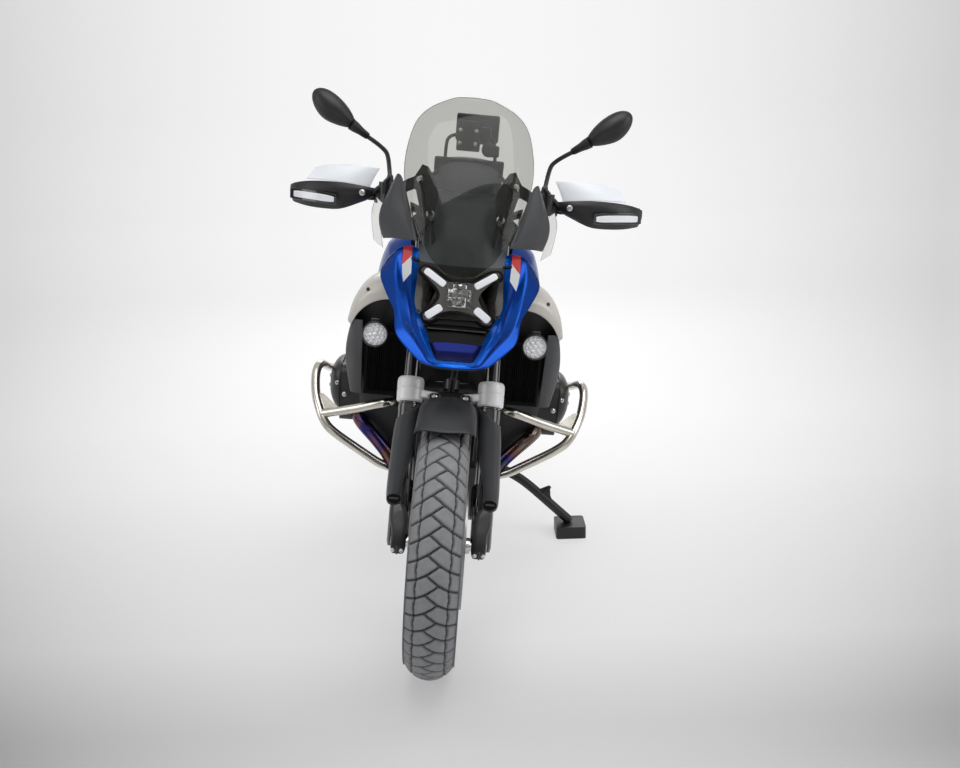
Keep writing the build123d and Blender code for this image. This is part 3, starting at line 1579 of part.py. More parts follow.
export_step(side_stand.part, "parts/side_stand.step")
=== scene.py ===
"""Looks of the adventure motorcycle: detailed pieces, materials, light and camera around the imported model.

Points in the tables are millimetres in the bike's upright frame: +X to the rider's left, +Y to the rear from the
front axle, +Z up from the tyres' contact line. bike() leans them onto the stand and into the row frame, in metres.
"""

import json
import math
import random

import bmesh
import bpy
import numpy as np
from mathutils import Matrix, Vector
from mathutils.bvhtree import BVHTree


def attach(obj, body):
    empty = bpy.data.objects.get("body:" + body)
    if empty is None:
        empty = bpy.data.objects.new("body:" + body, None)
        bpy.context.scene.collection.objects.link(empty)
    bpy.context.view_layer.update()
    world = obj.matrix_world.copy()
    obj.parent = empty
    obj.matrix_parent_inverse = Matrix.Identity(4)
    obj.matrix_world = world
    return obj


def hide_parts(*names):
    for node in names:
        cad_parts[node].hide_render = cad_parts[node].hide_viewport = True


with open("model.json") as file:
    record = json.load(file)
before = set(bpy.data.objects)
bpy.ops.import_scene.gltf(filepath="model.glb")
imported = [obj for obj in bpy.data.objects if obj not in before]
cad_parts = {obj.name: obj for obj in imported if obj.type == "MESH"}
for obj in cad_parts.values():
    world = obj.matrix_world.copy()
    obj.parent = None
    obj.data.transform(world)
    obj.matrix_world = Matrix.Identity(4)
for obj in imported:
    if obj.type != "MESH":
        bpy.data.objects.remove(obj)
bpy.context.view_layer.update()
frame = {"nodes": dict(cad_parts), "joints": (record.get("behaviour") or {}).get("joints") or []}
random.seed(7)

# ---- the bike's own frame
LEAN, STEER, RAKE = math.radians(6.5), math.radians(-1.9), math.radians(26.2)
WHEELBASE, TRAIL = 1518.0, 112.0
FRONT_TYRE, REAR_TYRE = (325.0, 122.0, 0.26), (318.0, 172.0, 0.24)  # radius, width, rise of the tread over the width
TREAD_CHORD = 0.46  # half the tread's chord over the tyre's width
STEER_UP, STEER_FOOT = Vector((0, math.sin(RAKE), math.cos(RAKE))), Vector((0, -TRAIL, 0))
STEER_BACK = Vector((0, math.cos(RAKE), -math.sin(RAKE)))
SIDES = ((1, "left"), (-1, "right"))


def crown_radius(width, share):
    half_chord, rise = TREAD_CHORD * width, share * width
    return (half_chord**2 + rise**2) / (2 * rise)


FRONT_Z, REAR_Z = (r + crown_radius(width, share) * (1 - math.cos(LEAN)) for r, width, share in (FRONT_TYRE, REAR_TYRE))
LEANED = Matrix.Rotation(LEAN, 4, "Y")
rear_joint = next(j for j in frame["joints"] if j["name"] == "rear_wheel_spin")
SHIFT = Vector(rear_joint["pos_m"]) * 1000 - LEANED @ Vector((0, WHEELBASE, REAR_Z))
TO_ROW = Matrix.Scale(0.001, 4) @ Matrix.Translation(SHIFT) @ LEANED
TURN = Matrix.Translation(STEER_FOOT) @ Matrix.Rotation(STEER, 4, STEER_UP) @ Matrix.Translation(-STEER_FOOT)
BODY_FRAME = {body: TO_ROW for body in ("chassis", "rear_wheel", "side_stand")}
BODY_FRAME |= {body: TO_ROW @ TURN for body in ("fork", "front_wheel")}


def bike(point, body="chassis"):
    """A point of a body, in the upright frame in mm, as a point of the row frame in metres."""
    return BODY_FRAME[body] @ Vector(point)


# ---- materials
NOISE_LOW, NOISE_HIGH = 0.3, 0.7  # what noise textures seldom leave
GRAIN_DETAIL, DRIFT_DETAIL = 4.0, 3.0


def set_inputs(node, **values):
    """Inputs of a shader node by name: sockets are linked, anything else is set."""
    for key, value in values.items():
        socket = node.inputs[key.replace("_", " ")]
        if isinstance(value, bpy.types.NodeSocket):
            node.id_data.links.new(value, socket)
        else:
            socket.default_value = value


def add_node(tree, kind, **values):
    node = tree.nodes.new(f"ShaderNode{kind}")
    set_inputs(node, **values)
    return node


def add_ramp(tree, value, stops):
    """Colours over a value, from (position, colour) stops."""
    node = add_node(tree, "ValToRGB", Fac=value)
    elements = node.color_ramp.elements
    for element, (position, colour) in zip(elements, (stops[0], stops[-1])):
        element.position, element.color = position, (*colour, 1)
    for position, colour in stops[1:-1]:
        elements.new(position).color = (*colour, 1)
    return node.outputs["Color"]


def new_material(name, **values):
    material = bpy.data.materials.new(name)
    material.use_nodes = True
    shader = material.node_tree.nodes["Principled BSDF"]
    set_inputs(shader, **values)
    return material, shader, material.node_tree


def texture(tree, kind="Noise", out="Fac", **values):
    """A texture in object space."""
    coords = add_node(tree, "TexCoord")
    return add_node(tree, f"Tex{kind}", Vector=coords.outputs["Object"], **values).outputs[out]


def relief(shader, height, strength, distance):
    bump = add_node(shader.id_data, "Bump", Strength=strength, Distance=distance, Height=height)
    set_inputs(shader, Normal=bump.outputs["Normal"])


def vary(shader, socket, low, high, scale):
    """Lets a number or a colour drift a little over the surface."""
    tree = shader.id_data
    noise = texture(tree, Scale=scale, Detail=DRIFT_DETAIL)
    if isinstance(low, tuple):
        result = add_ramp(tree, noise, [(NOISE_LOW, low), (NOISE_HIGH, high)])
    else:
        limits = {"From_Min": NOISE_LOW, "From_Max": NOISE_HIGH, "To_Min": low, "To_Max": high}
        result = add_node(tree, "MapRange", Value=noise, **limits).outputs["Result"]
    set_inputs(shader, **{socket: result})


def plastic(name, colour, lift=1.35, rough=(0.42, 0.55), grain=900.0, strength=0.35, distance=0.00025):
    material, shader, tree = new_material(name)
    vary(shader, "Base_Color", colour, tuple(c * lift for c in colour), 14)
    vary(shader, "Roughness", *rough, 22)
    relief(shader, texture(tree, "Voronoi", "Distance", Scale=grain), strength, distance)
    return material


def paint(name, colour, other, rough=(0.2, 0.26), coat=1.0, metallic=0.0, scale=9.0, gleam=0.5):
    values = {"Coat_Weight": coat, "Coat_Roughness": 0.03, "Metallic": metallic, "Specular_IOR_Level": gleam}
    material, shader, tree = new_material(name, **values)
    vary(shader, "Base_Color", colour, other, scale)
    vary(shader, "Roughness", *rough, 30)
    relief(shader, texture(tree, Scale=700, Detail=GRAIN_DETAIL), 0.06, 0.0001)
    return material


def metal(name, colour, other, rough, scale, strength):
    material, shader, tree = new_material(name, Metallic=1.0)
    vary(shader, "Base_Color", colour, other, scale)
    vary(shader, "Roughness", *rough, scale * 1.7)
    relief(shader, texture(tree, Scale=420, Detail=GRAIN_DETAIL), strength, 0.0002)
    return material


def clear(name, tint, ior=1.45, gleam=0.5):
    values = {"Base_Color": (*tint, 1), "Transmission_Weight": 1.0, "IOR": ior, "Specular_IOR_Level": gleam}
    material, shader, _ = new_material(name, **values)
    vary(shader, "Roughness", 0.02, 0.035, 8)
    return material


def heated_steel():
    """Steel blued and purpled by heat in drifting bands."""
    material, shader, tree = new_material("heated_steel", Metallic=1.0)
    straw, bronze, blue, grey = (0.2, 0.17, 0.14), (0.2, 0.09, 0.08), (0.05, 0.05, 0.24), (0.09, 0.08, 0.09)
    bands = add_ramp(tree, texture(tree, Scale=9), [(0.34, straw), (0.46, bronze), (0.55, blue), (0.66, grey)])
    set_inputs(shader, Base_Color=bands)
    vary(shader, "Roughness", 0.18, 0.3, 30)
    return material


def tyre_rubber():
    """Rubber: grey tops, and painted shade in the grooves: near-black by the groove depth kept on the mesh."""
    material, shader, tree = new_material("tyre_rubber")
    depth = add_node(tree, "Attribute")
    depth.attribute_name = "groove"
    # grey tops, their tone drifting at random
    tread_top_greys = [(0, (0.165, 0.168, 0.176)), (1, (0.27, 0.273, 0.283))]
    mix = add_node(tree, "Mix")
    mix.data_type = "RGBA"
    tops = add_ramp(tree, texture(tree, Scale=60, Detail=6), tread_top_greys)
    # painted shade: the grooves turn near-black by their depth
    set_inputs(mix, A=tops, B=(0.006, 0.006, 0.006, 1), Factor=depth.outputs["Fac"])
    set_inputs(shader, Base_Color=mix.outputs["Result"])
    vary(shader, "Roughness", 0.6, 0.75, 40)
    relief(shader, texture(tree, Scale=1500, Detail=GRAIN_DETAIL), 0.3, 0.0003)
    return material


MAT = {
    "black": plastic("black_moulded", (0.012, 0.0125, 0.014)),
    "guard": plastic("guard_black", (0.008, 0.008, 0.009), 1.4, (0.34, 0.46), 1400, 0.25),
    "shroud": plastic("shroud_grey", (0.03, 0.031, 0.034), 1.3, (0.4, 0.52), 1000, 0.35),
    "deflector": plastic("deflector_grey", (0.03, 0.031, 0.034), 1.3, (0.34, 0.46), 1100, 0.25),
    "blue": paint("gloss_blue", (0.0002, 0.042, 0.27), (0.0004, 0.052, 0.33), (0.2, 0.27), 0.14, 0.8, gleam=0.2),
    # lighter copy of the beak's blue: painted highlight along each blade's inner edge and at its tip
    "blue_bright": paint("gloss_blue_painted_highlight", (0.0, 0.095, 0.55), (0.001, 0.115, 0.62), (0.24, 0.3), 0.12, 0.7,
                         gleam=0.2),
    # darker copy of the beak's blue: painted shade on the tray under the lamp
    "blue_deep": paint("gloss_blue_tray_painted_shade", (0.003, 0.006, 0.06), (0.004, 0.008, 0.08), (0.16, 0.24), 0.06, 0.8,
                       gleam=0.1),
    "white_stripe": paint("white_stripe", (0.6, 0.61, 0.6), (0.66, 0.66, 0.65)),
    "red_stripe": paint("red_stripe", (0.5, 0.012, 0.014), (0.58, 0.02, 0.018)),
    "silver": paint("satin_silver", (0.54, 0.515, 0.475), (0.6, 0.575, 0.535), (0.34, 0.42), 0.25, 0.15),
    "collar": paint("cast_silver", (0.74, 0.74, 0.745), (0.82, 0.82, 0.825), (0.36, 0.46), 0.15, 0.15, 24),
    "engine": paint("engine_grey", (0.018, 0.018, 0.019), (0.03, 0.03, 0.031), (0.38, 0.55), 0.1),
    "head": paint("head_grey", (0.014, 0.014, 0.015), (0.022, 0.022, 0.023), (0.34, 0.46), 0.15),
    "frame": paint("frame_black", (0.008, 0.008, 0.009), (0.014, 0.014, 0.015), (0.3, 0.42), 0.3),
    "stainless": metal("stainless_tube", (0.62, 0.59, 0.53), (0.72, 0.69, 0.62), (0.16, 0.27), 18, 0.08),
    "disc": metal("brake_disc", (0.42, 0.42, 0.43), (0.52, 0.52, 0.52), (0.28, 0.4), 40, 0.2),
    "bolt": metal("bolt_steel", (0.66, 0.66, 0.66), (0.76, 0.76, 0.75), (0.18, 0.3), 60, 0.05),
    "rubber": plastic("grip_rubber", (0.01, 0.01, 0.01), 1.4, (0.6, 0.75), 500, 0.5, 0.0006),
    "seat": plastic("seat_vinyl", (0.012, 0.012, 0.013), 1.5, (0.45, 0.6), 420, 0.6, 0.0006),
    "lamp_dark": paint("lamp_surround", (0.016, 0.0135, 0.011), (0.024, 0.02, 0.0165), (0.3, 0.4), 0.12, gleam=0.35),
    "gloss_black": paint("gloss_black", (0.004, 0.004, 0.005), (0.008, 0.008, 0.009), (0.08, 0.14), 1.0),
    "led": paint("led_bar", (0.78, 0.8, 0.84), (0.86, 0.87, 0.9), (0.22, 0.3), 0.6),
    "spoiler": paint("pale_spoiler", (0.8, 0.83, 0.88), (0.86, 0.88, 0.92), (0.3, 0.4), 0.3),
    "screen": clear("tinted_screen", (0.5, 0.503, 0.475), ior=1.28, gleam=0.2),
    "lens": clear("lens_clear", (0.95, 0.95, 0.95)),
    "reflector": metal("reflector", (0.42, 0.42, 0.41), (0.6, 0.6, 0.59), (0.14, 0.24), 60, 0.1),
    "red_lens": paint("tail_red", (0.35, 0.004, 0.004), (0.45, 0.008, 0.008), (0.1, 0.16), 1.0),
    "plate": paint("plate_blank", (0.6, 0.6, 0.58), (0.66, 0.66, 0.64), (0.35, 0.45), 0.2),
    "fog_glass": paint("fog_glass", (0.78, 0.78, 0.8), (0.9, 0.9, 0.92), (0.1, 0.2), 0.9, 0.1, 120),
    # opaque grey for the clear screen's rim: painted reflection standing in for what its glass edge shows
    "screen_rim_painted_reflection": paint("screen_rim_painted_reflection", (0.38, 0.38, 0.36), (0.44, 0.44, 0.42), (0.12, 0.2), 0.6),
    "hood": plastic("hood_grey", (0.07, 0.076, 0.088), 1.3, (0.3, 0.42), 1100, 0.2),
    "fin_black": paint("fin_black", (0.004, 0.004, 0.004), (0.007, 0.007, 0.007), (0.4, 0.5), 0.0, gleam=0.08),
    "arm_glass": paint("lamp_arm_glass", (0.05, 0.047, 0.043), (0.08, 0.076, 0.07), (0.1, 0.16), 0.5),
    "cowl": plastic("cowl_grey", (0.1, 0.11, 0.125), 1.15, (0.35, 0.45), 900, 0.15),
    "winglet": clear("winglet_clear", (0.74, 0.745, 0.73), ior=1.25, gleam=0.2),
    "tank": plastic("tank_black", (0.012, 0.012, 0.013), 1.4, (0.32, 0.45), 900, 0.2),
    "headers": heated_steel(),
    "tyre": tyre_rubber(),
}
NODE_LOOKS = {
    "disc": "front_discs rear_disc", "bolt": "front_axle", "gloss_black": "fork_tubes", "collar": "fork_bridge",
    "rubber": "grips front_tyre rear_tyre", "guard": "hand_guards mirrors side_stand", "spoiler": "guard_spoilers",
    "black": "front_fender rear_hugger beak_underside display rear_covers luggage_rack plate_holder",
    "engine": "engine_block cylinders skid_plate final_drive", "head": "head_covers", "headers": "headers",
    "stainless": "silencer crash_bars", "lamp_dark": "headlamp", "led": "light_bars", "lens": "headlamp_lens",
    "blue": "beak tank_panels", "screen": "screen", "deflector": "deflectors", "silver": "side_panels",
    "fin_black": "radiators", "shroud": "shrouds", "tank": "tank", "seat": "seats", "red_lens": "tail_lights",
}
LOOK_OF = {node: look for look, nodes in NODE_LOOKS.items() for node in nodes.split()}
for node_name, node_object in frame["nodes"].items():
    node_object.data.materials.clear()
    node_object.data.materials.append(MAT[LOOK_OF.get(node_name, "frame")])


# ---- mesh helpers
def add_object(name, data, material, body, replaced=()):
    piece = bpy.data.objects.new(name, data)
    bpy.context.scene.collection.objects.link(piece)
    data.materials.append(MAT[material])
    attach(piece, body)
    if replaced:
        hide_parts(*replaced)
    return piece


def modify(piece, name, kind, **settings):
    modifier = piece.modifiers.new(name, kind)
    for key, value in settings.items():
        setattr(modifier, key, value)


def subdivide(piece, level, **settings):
    modify(piece, "round", "SUBSURF", levels=level, render_levels=level, **settings)


def bevel_edges(piece, name, width, segments, angle):
    limits = {"limit_method": "ANGLE", "angle_limit": math.radians(angle)}
    modify(piece, name, "BEVEL", width=width / 1000, segments=segments, **limits)


def smooth(mesh, angle=None):
    mesh.polygons.foreach_set("use_smooth", [True] * len(mesh.polygons))
    if angle is not None:
        mesh.set_sharp_from_angle(angle=math.radians(angle))


def build(name, points, faces, material, body, replaced=(), angle=40, creases=()):
    """Mesh piece from points of the upright frame."""
    mesh = bpy.data.meshes.new(name)
    mesh.from_pydata([bike(p, body) for p in points], [], faces)
    mesh.validate()
    if creases:
        wanted = {tuple(sorted(edge)): value for edge, value in creases}
        layer = mesh.attributes.new("crease_edge", "FLOAT", "EDGE")
        for edge in mesh.edges:
            value = wanted.get(tuple(sorted(edge.vertices)))
            if value:
                layer.data[edge.index].value = value
    work = bmesh.new()
    work.from_mesh(mesh)
    bmesh.ops.recalc_face_normals(work, faces=work.faces)
    work.to_mesh(mesh)
    work.free()
    smooth(mesh, angle)
    return add_object(name, mesh, material, body, replaced)


def flip(shape, sign=-1):
    """A point, or any nest of points, mirrored over the bike's middle plane unless sign is 1."""
    if isinstance(shape[0], (int, float)):
        return (sign * shape[0], *shape[1:])
    return [flip(part, sign) for part in shape]


def whole(half):
    """A row across the bike from its half, given from the middle outwards."""
    return flip(half[:0:-1]) + half


def pair(make, name, shape, *rest, **more):
    """The same piece on the left and, mirrored, on the right."""
    for sign, side in SIDES:
        make(f"{name}_{side}", flip(shape, sign), *rest, **more)


def circle(count, start=0.0):
    """Cosine and sine of evenly spaced turns."""
    turns = [2 * math.pi * k / count + start for k in range(count)]
    return [(math.cos(turn), math.sin(turn)) for turn in turns]


def skin(name, rows, material, thickness, replaced=(), level=2, body="chassis", both=False, crease_rows=(),
         crease_columns=(), crease=0.75, edge=0.6, paints=None):
    """Panel from a grid of points: subdivided, thickened inwards, with soft rims; both adds the mirror image.

    crease_rows and crease_columns name the lines kept sharp, and paints gives cells of the grid other looks.
    """
    points, faces, creases, looks = [], [], [], []
    wide, tall = len(rows[0]), len(rows)
    for sheet in (rows, flip(rows)) if both else (rows,):
        base = len(points)
        points += [p for row in sheet for p in row]
        for i in range(tall - 1):
            for j in range(wide - 1):
                a = base + i * wide + j
                faces.append((a, a + 1, a + 1 + wide, a + wide))
                looks.append((paints or {}).get((i, j), material))
        for j in crease_columns:
            creases += [((base + i * wide + j, base + (i + 1) * wide + j), crease) for i in range(tall - 1)]
        for i in crease_rows:
            creases += [((base + i * wide + j, base + i * wide + j + 1), crease) for j in range(wide - 1)]
    piece = build(name, points, faces, material, body, replaced, angle=None, creases=creases)
    if paints:
        order = [material] + sorted(set(looks) - {material})
        for look in order[1:]:
            piece.data.materials.append(MAT[look])
        piece.data.polygons.foreach_set("material_index", [order.index(look) for look in looks])
    subdivide(piece, level, boundary_smooth="PRESERVE_CORNERS")
    modify(piece, "thick", "SOLIDIFY", thickness=thickness / 1000, offset=-1)
    bevel_edges(piece, "rim", thickness * edge / 2, 2, 50)
    return piece


def loft(name, rings, material, body="chassis", replaced=(), level=2, creases=(), both=False, angle=None):
    """Closed loops of equal length joined in order; creases names the loops kept sharp; both adds the mirror image."""
    points, faces, sharp = [], [], []
    size, last = len(rings[0]), (len(rings) - 1) * len(rings[0])
    for sign in (1, -1) if both else (1,):
        base = len(points)
        points += [p for ring in flip(rings, sign) for p in ring]
        for start in range(base, base + last, size):
            loop = [(start + k, start + (k + 1) % size) for k in range(size)]
            faces += [(a, b, b + size, a + size) for a, b in loop]
        faces += [tuple(start + k for k in range(size)) for start in (base, base + last)]
        for i in creases:
            start = base + i % len(rings) * size
            sharp += [((start + k, start + (k + 1) % size), 0.85) for k in range(size)]
    piece = build(name, points, faces, material, body, replaced, angle=angle, creases=sharp)
    if level:
        subdivide(piece, level)
    return piece


def block(name, corners, material, body="chassis", bevel=2.0):
    """Box with rounded edges between two opposite corners."""
    (xa, ya, za), (xb, yb, zb) = corners
    rings = [[(xa, ya, z), (xb, ya, z), (xb, yb, z), (xa, yb, z)] for z in (za, zb)]
    bevel_edges(loft(name, rings, material, body, level=0, angle=40), "edge", bevel, 3, 30)


def prism(name, outline, depth, material, body="chassis", replaced=(), bevel=1.5, both=False, segments=3):
    """Plate: outline points in space, thickened by the depth vector, edges rounded."""
    near = [Vector(p) for p in outline]
    rings = [[tuple(p) for p in near], [tuple(p + Vector(depth)) for p in near]]
    piece = loft(name, rings, material, body, replaced, level=0, both=both, angle=35)
    bevel_edges(piece, "edge", bevel, segments, 35)
    return piece


def lathe(name, line, outline, material, body="chassis", replaced=(), segments=48, angle=35):
    """Turned piece: outline of (along, radius) about a line, given as a point and a direction."""
    centre, axis = Vector(line[0]), Vector(line[1]).normalized()
    side_way = axis.cross(Vector((0, 0, 1)) if abs(axis.z) < 0.9 else Vector((0, 1, 0))).normalized()
    up_way = axis.cross(side_way)
    rings = [[centre + axis * along + (side_way * c + up_way * s) * radius for c, s in circle(segments)]
             for along, radius in outline]
    return loft(name, rings, material, body, replaced, level=0, angle=angle)


def join(name, parts):
    """Joins pieces of one body into one named object."""
    bpy.ops.object.select_all(action="DESELECT")
    for part in parts:
        part.select_set(True)
    bpy.context.view_layer.objects.active = parts[0]
    bpy.ops.object.join()
    parts[0].name = name
    return parts[0]


def wire(name, points, radius, material, body="chassis", replaced=()):
    """Smooth hose, tube or cable as a curve with a round section."""
    curve = bpy.data.curves.new(name, "CURVE")
    curve.dimensions = "3D"
    curve.bevel_depth, curve.bevel_resolution, curve.resolution_u = radius / 1000, 4, 12
    spline = curve.splines.new("NURBS")
    spline.points.add(len(points) - 1)
    for target, point in zip(spline.points, points):
        target.co = (*bike(point, body), 1)
    spline.order_u = 3
    spline.use_endpoint_u = True
    return add_object(name, curve, material, body, replaced)


BOLT_HEAD = [(0.45, 0.92), (0.62, 0.7), (0.62, 0.42), (0.25, 0.38)]  # height and radius, as shares of the head's


def bolt_parts(name, spots, radius, body="chassis", material="bolt"):
    """Button-head bolts at (point, direction) spots, as one piece."""
    washer = [(-1.5, radius * 1.25), (0, radius * 1.25), (0.4, radius)]
    outline = washer + [(radius * up, radius * out) for up, out in BOLT_HEAD]
    heads = [lathe(f"{name}_{i}", spot, outline, material, body, segments=20) for i, spot in enumerate(spots)]
    return join(name, heads)


# ---- tyres
TREAD_RINGS, TREAD_ACROSS = 14, 46  # points a pitch along the tread, and across it
GROOVE_DEPTH, GROOVE_SLOPE = 5.0, 1.8
ZIGZAG, SLANT, BRANCH = 2.1, 2.0, 1.95  # half widths of the grooves


def groove_depth(s, v, pitch, scale, reach):
    """0 on the blocks, 1 in a groove; s across from the crown line, v along within a pitch."""
    left, edge, drop = 15.0 * scale, 39.0 * scale, 13.0
    lines = []
    for k in (-1, 0, 1, 2):
        low, mid = k * pitch, (k + 0.5) * pitch
        lines += [((-left, low), (left, mid), ZIGZAG), ((left, mid), (-left, low + pitch), ZIGZAG)]
        for sign, start in ((-1, low), (1, mid)):
            knee, bulge = (sign * edge, start - drop), (sign * (edge + 4), start + 0.5 * pitch - drop)
            lines += [((sign * left, start), knee, ZIGZAG), (knee, (sign * (reach + 6), start - drop - 12), SLANT)]
            lines += [(knee, bulge, BRANCH), (bulge, (sign * edge, start + pitch - drop), BRANCH)]
    best = np.full(s.shape, 99.0)
    for (ax, ay), (bx, by), half in lines:
        dx, dy = bx - ax, by - ay
        t = np.clip(((s - ax) * dx + (v - ay) * dy) / (dx * dx + dy * dy), 0, 1)
        best = np.minimum(best, np.hypot(s - ax - t * dx, v - ay - t * dy) - half)
    return 1 - np.clip((best + 0.6) / GROOVE_SLOPE, 0, 1)


def tread(name, mid_y, mid_z, radius, width, share, rim_radius, rim_width, pitches, body, node):
    """Tyre with carved chevron blocks: a fine grid whose depth follows the distance to the grooves."""
    crown = crown_radius(width, share)
    reach = crown * math.asin(TREAD_CHORD * width / crown)
    pitch = 2 * math.pi * radius / pitches
    rings = pitches * TREAD_RINGS
    turn = 2 * np.pi * np.arange(rings) / rings
    grid_s, grid_turn = np.meshgrid(np.linspace(-reach - 5, reach + 5, TREAD_ACROSS), turn)
    depth = groove_depth(grid_s, np.mod(grid_turn * radius, pitch), pitch, width / FRONT_TYRE[1], reach)
    depth = depth * np.clip((reach + 5 - np.abs(grid_s)) / 4, 0, 1)
    arc = crown - GROOVE_DEPTH * depth
    ring_r, ring_x = radius - crown + arc * np.cos(grid_s / crown), arc * np.sin(grid_s / crown)
    # sidewalls from the beads out to the tread
    tall = radius - rim_radius
    wall = [(rim_width / 2 - 0.3, rim_radius + 15), (rim_width / 2 + 9, rim_radius + 16)]
    wall += [(width / 2 - 3, rim_radius + 0.34 * tall), (width / 2, rim_radius + 0.5 * tall)]
    wall += [(width / 2 - 0.5, rim_radius + 0.62 * tall)]
    wall_x, wall_r = (np.tile(column, (rings, 1)) for column in zip(*wall))
    xs = np.hstack([-wall_x, ring_x, wall_x[:, ::-1]])
    rs = np.hstack([wall_r, ring_r, wall_r[:, ::-1]])
    turns = turn[:, None]
    points = np.stack([xs, mid_y + rs * np.sin(turns), mid_z + rs * np.cos(turns)], axis=-1).reshape(-1, 3)
    matrix = np.array(BODY_FRAME[body])
    points = points @ matrix[:3, :3].T + matrix[:3, 3]
    index = np.arange(xs.size).reshape(xs.shape)
    nxt = np.roll(index, -1, axis=0)
    faces = np.stack([index[:, :-1], index[:, 1:], nxt[:, 1:], nxt[:, :-1]], axis=-1).reshape(-1, 4)
    mesh = bpy.data.meshes.new(name)
    mesh.from_pydata(points.tolist(), [], faces.tolist())
    # groove depth kept on the mesh: it drives the rubber's painted shade in the grooves
    groove = mesh.attributes.new("groove", "FLOAT", "POINT")
    flat = np.zeros_like(wall_x)
    groove.data.foreach_set("value", np.hstack([flat, depth, flat]).ravel().astype(np.float32))
    smooth(mesh)
    add_object(name, mesh, "tyre", body, (node,))


tread("tyre_tread_front", 0, FRONT_Z, *FRONT_TYRE, 241.0, 76.0, 46, "front_wheel", "front_tyre")
tread("tyre_tread_rear", WHEELBASE, REAR_Z, *REAR_TYRE, 216.0, 114.0, 38, "rear_wheel", "rear_tyre")

# ---- fork, fender and covers
FORK_HALF, LEG_AHEAD, AXLE_Z = 104, 25, 325  # a leg from the middle, ahead of the steering axis, and the axle's height
COVER_AHEAD, RECESS_AHEAD, BADGE_AHEAD = 62, 63.4, 65.4  # of the steering axis


def axis_y(z):
    """Where the steering axis is at a height."""
    return -TRAIL + z * math.tan(RAKE)


def leg_foot(x):
    """Point of a fork leg's line at the axle's height."""
    return Vector((x, axis_y(AXLE_Z) - LEG_AHEAD / math.cos(RAKE), AXLE_Z))


AXLE_ALONG = (leg_foot(0) - STEER_FOOT).dot(STEER_UP)


def on_axis(x, back, along):
    """Point by the steering axis: back of it, along it from the axle's height."""
    return STEER_FOOT + STEER_UP * (AXLE_ALONG + along) + Vector((x, 0, 0)) + STEER_BACK * back


leg_line = (leg_foot(FORK_HALF), STEER_UP)
collar = [(345, 30), (349, 33.5), (368, 34.2), (375.5, 34.2), (376.5, 33.2), (379.5, 33.2), (380.5, 34.4)]
collar += [(398, 34.6), (405, 33.5), (409, 30.5), (411, 21.5)]
pair(lathe, "fork_collar", leg_line, collar, "collar", "fork", ("fork_bridge",), 64, 30)
tube = [(-18, 20), (-20, 24), (-8, 27), (338, 27), (340, 24), (349, 24)]
pair(lathe, "fork_leg", leg_line, tube, "gloss_black", "fork", ("fork_legs",), 48, 30)
arm = [(76, -46), (92, -40), (94, -12), (76, -2), (44, 2), (30, 6), (30, -20), (44, -24)]
hub = [(-34, -24), (34, -24), (40, -6), (34, 18), (-34, 18), (-40, -6)]
ears = [(24, -34), (46, -40), (54, -28), (44, -16), (26, -16)]
for name, outline, along, depth, look, nodes, bevel in (
    ("bridge_arms", arm, 356, 22, "collar", ("fork_bridge",), 4),
    ("bridge_hub", hub, 352, 30, "frame", ("fork_bridge",), 5),
    ("fender_bracket", ears, 352, 20, "frame", (), 4),
):
    points = [on_axis(x, y, along) for x, y in outline]
    prism(name, points, STEER_UP * depth, look, "fork", nodes, bevel, outline is not hub)
pin = [(0, 16), (6, 16), (8, 9), (50, 9), (51, 8)]
lathe("bridge_pin", (on_axis(0, 0, 370), STEER_UP), pin, "frame", "fork", segments=32)
bolt_parts("fender_bracket_bolts", [(on_axis(s * 40, -38, 362), (0, -0.9, 0.4)) for s in (-1, 1)], 6, "fork")
for shift_x, cable_name in ((-5, "brake_hose"), (7, "speed_cable")):
    cable = [(0, -26, 380), (3, -34, 410), (9, -30, 452), (12, -27, 520), (12, -27, 600)]
    wire(cable_name, [on_axis(shift_x + x, back, along) for x, back, along in cable], 2.6, "black", "fork")

FENDER_TURN = [-19, -13, -6, 2, 9, 15, 21, 28, 40, 54, 67]
FENDER_RISE = [1, 11, 20, 25, 23, 14, 5, 2, 0, 0, 0]
FENDER_LINE = [(0, 0, 1.0), (36, 0, 0.92), (60, -3, 0.5), (70, -14, 0.25), (72, -34, 0.1)]
FENDER_R, TIP_DROP, TIP_TURN = 347.5, 0.35, 1.2


def fender_row(turn, rise):
    """A row across the fender, at a turn round the axle; the first row, its tip, is flatter and ends in a point."""
    tip = turn == FENDER_TURN[0]
    row = []
    for x, drop, share in FENDER_LINE:
        radius = FENDER_R + drop * (TIP_DROP if tip else 1.0) + rise * share
        angle = math.radians(turn - (TIP_TURN if x == 0 and tip else 0))
        row.append((x, radius * math.sin(angle), FRONT_Z + radius * math.cos(angle)))
    return whole(row)


fender = [fender_row(turn, rise) for turn, rise in zip(FENDER_TURN, FENDER_RISE)]
skin("fender", fender, "black", 3.5, ("front_fender",), body="fork")
COVER = [
    [(74, 640), (78, 638), (106, 624), (128, 604), (134, 596)],
    [(76, 600), (80, 598), (108, 594), (132, 580), (138, 572)],
    [(79, 540), (83, 538), (110, 536), (134, 530), (140, 526)],
    [(86, 480), (90, 478), (114, 477), (136, 474), (142, 472)],
    [(95, 430), (99, 428), (119, 427), (137, 426), (143, 425)],
    [(101, 411), (104, 409), (121, 408), (136, 408), (141, 409)],
]
COVER_BACK = (24, 4, 0, 5, 34)
covers = [[(x, axis_y(z) - COVER_AHEAD + back, z) for (x, z), back in zip(row, COVER_BACK)] for row in COVER]
skin("fork_covers", covers, "shroud", 3.5, ("front_fender",), body="fork", both=True, crease_rows=(0, 5))
recess = [(120 + 17.5 * c, 424 + 10.5 * s) for c, s in circle(20)]
recess = [(x, axis_y(z) - RECESS_AHEAD, z) for x, z in recess]
pair(prism, "cover_recess", recess, (0, -1.4, 0), "fin_black", "fork", bevel=0.8)
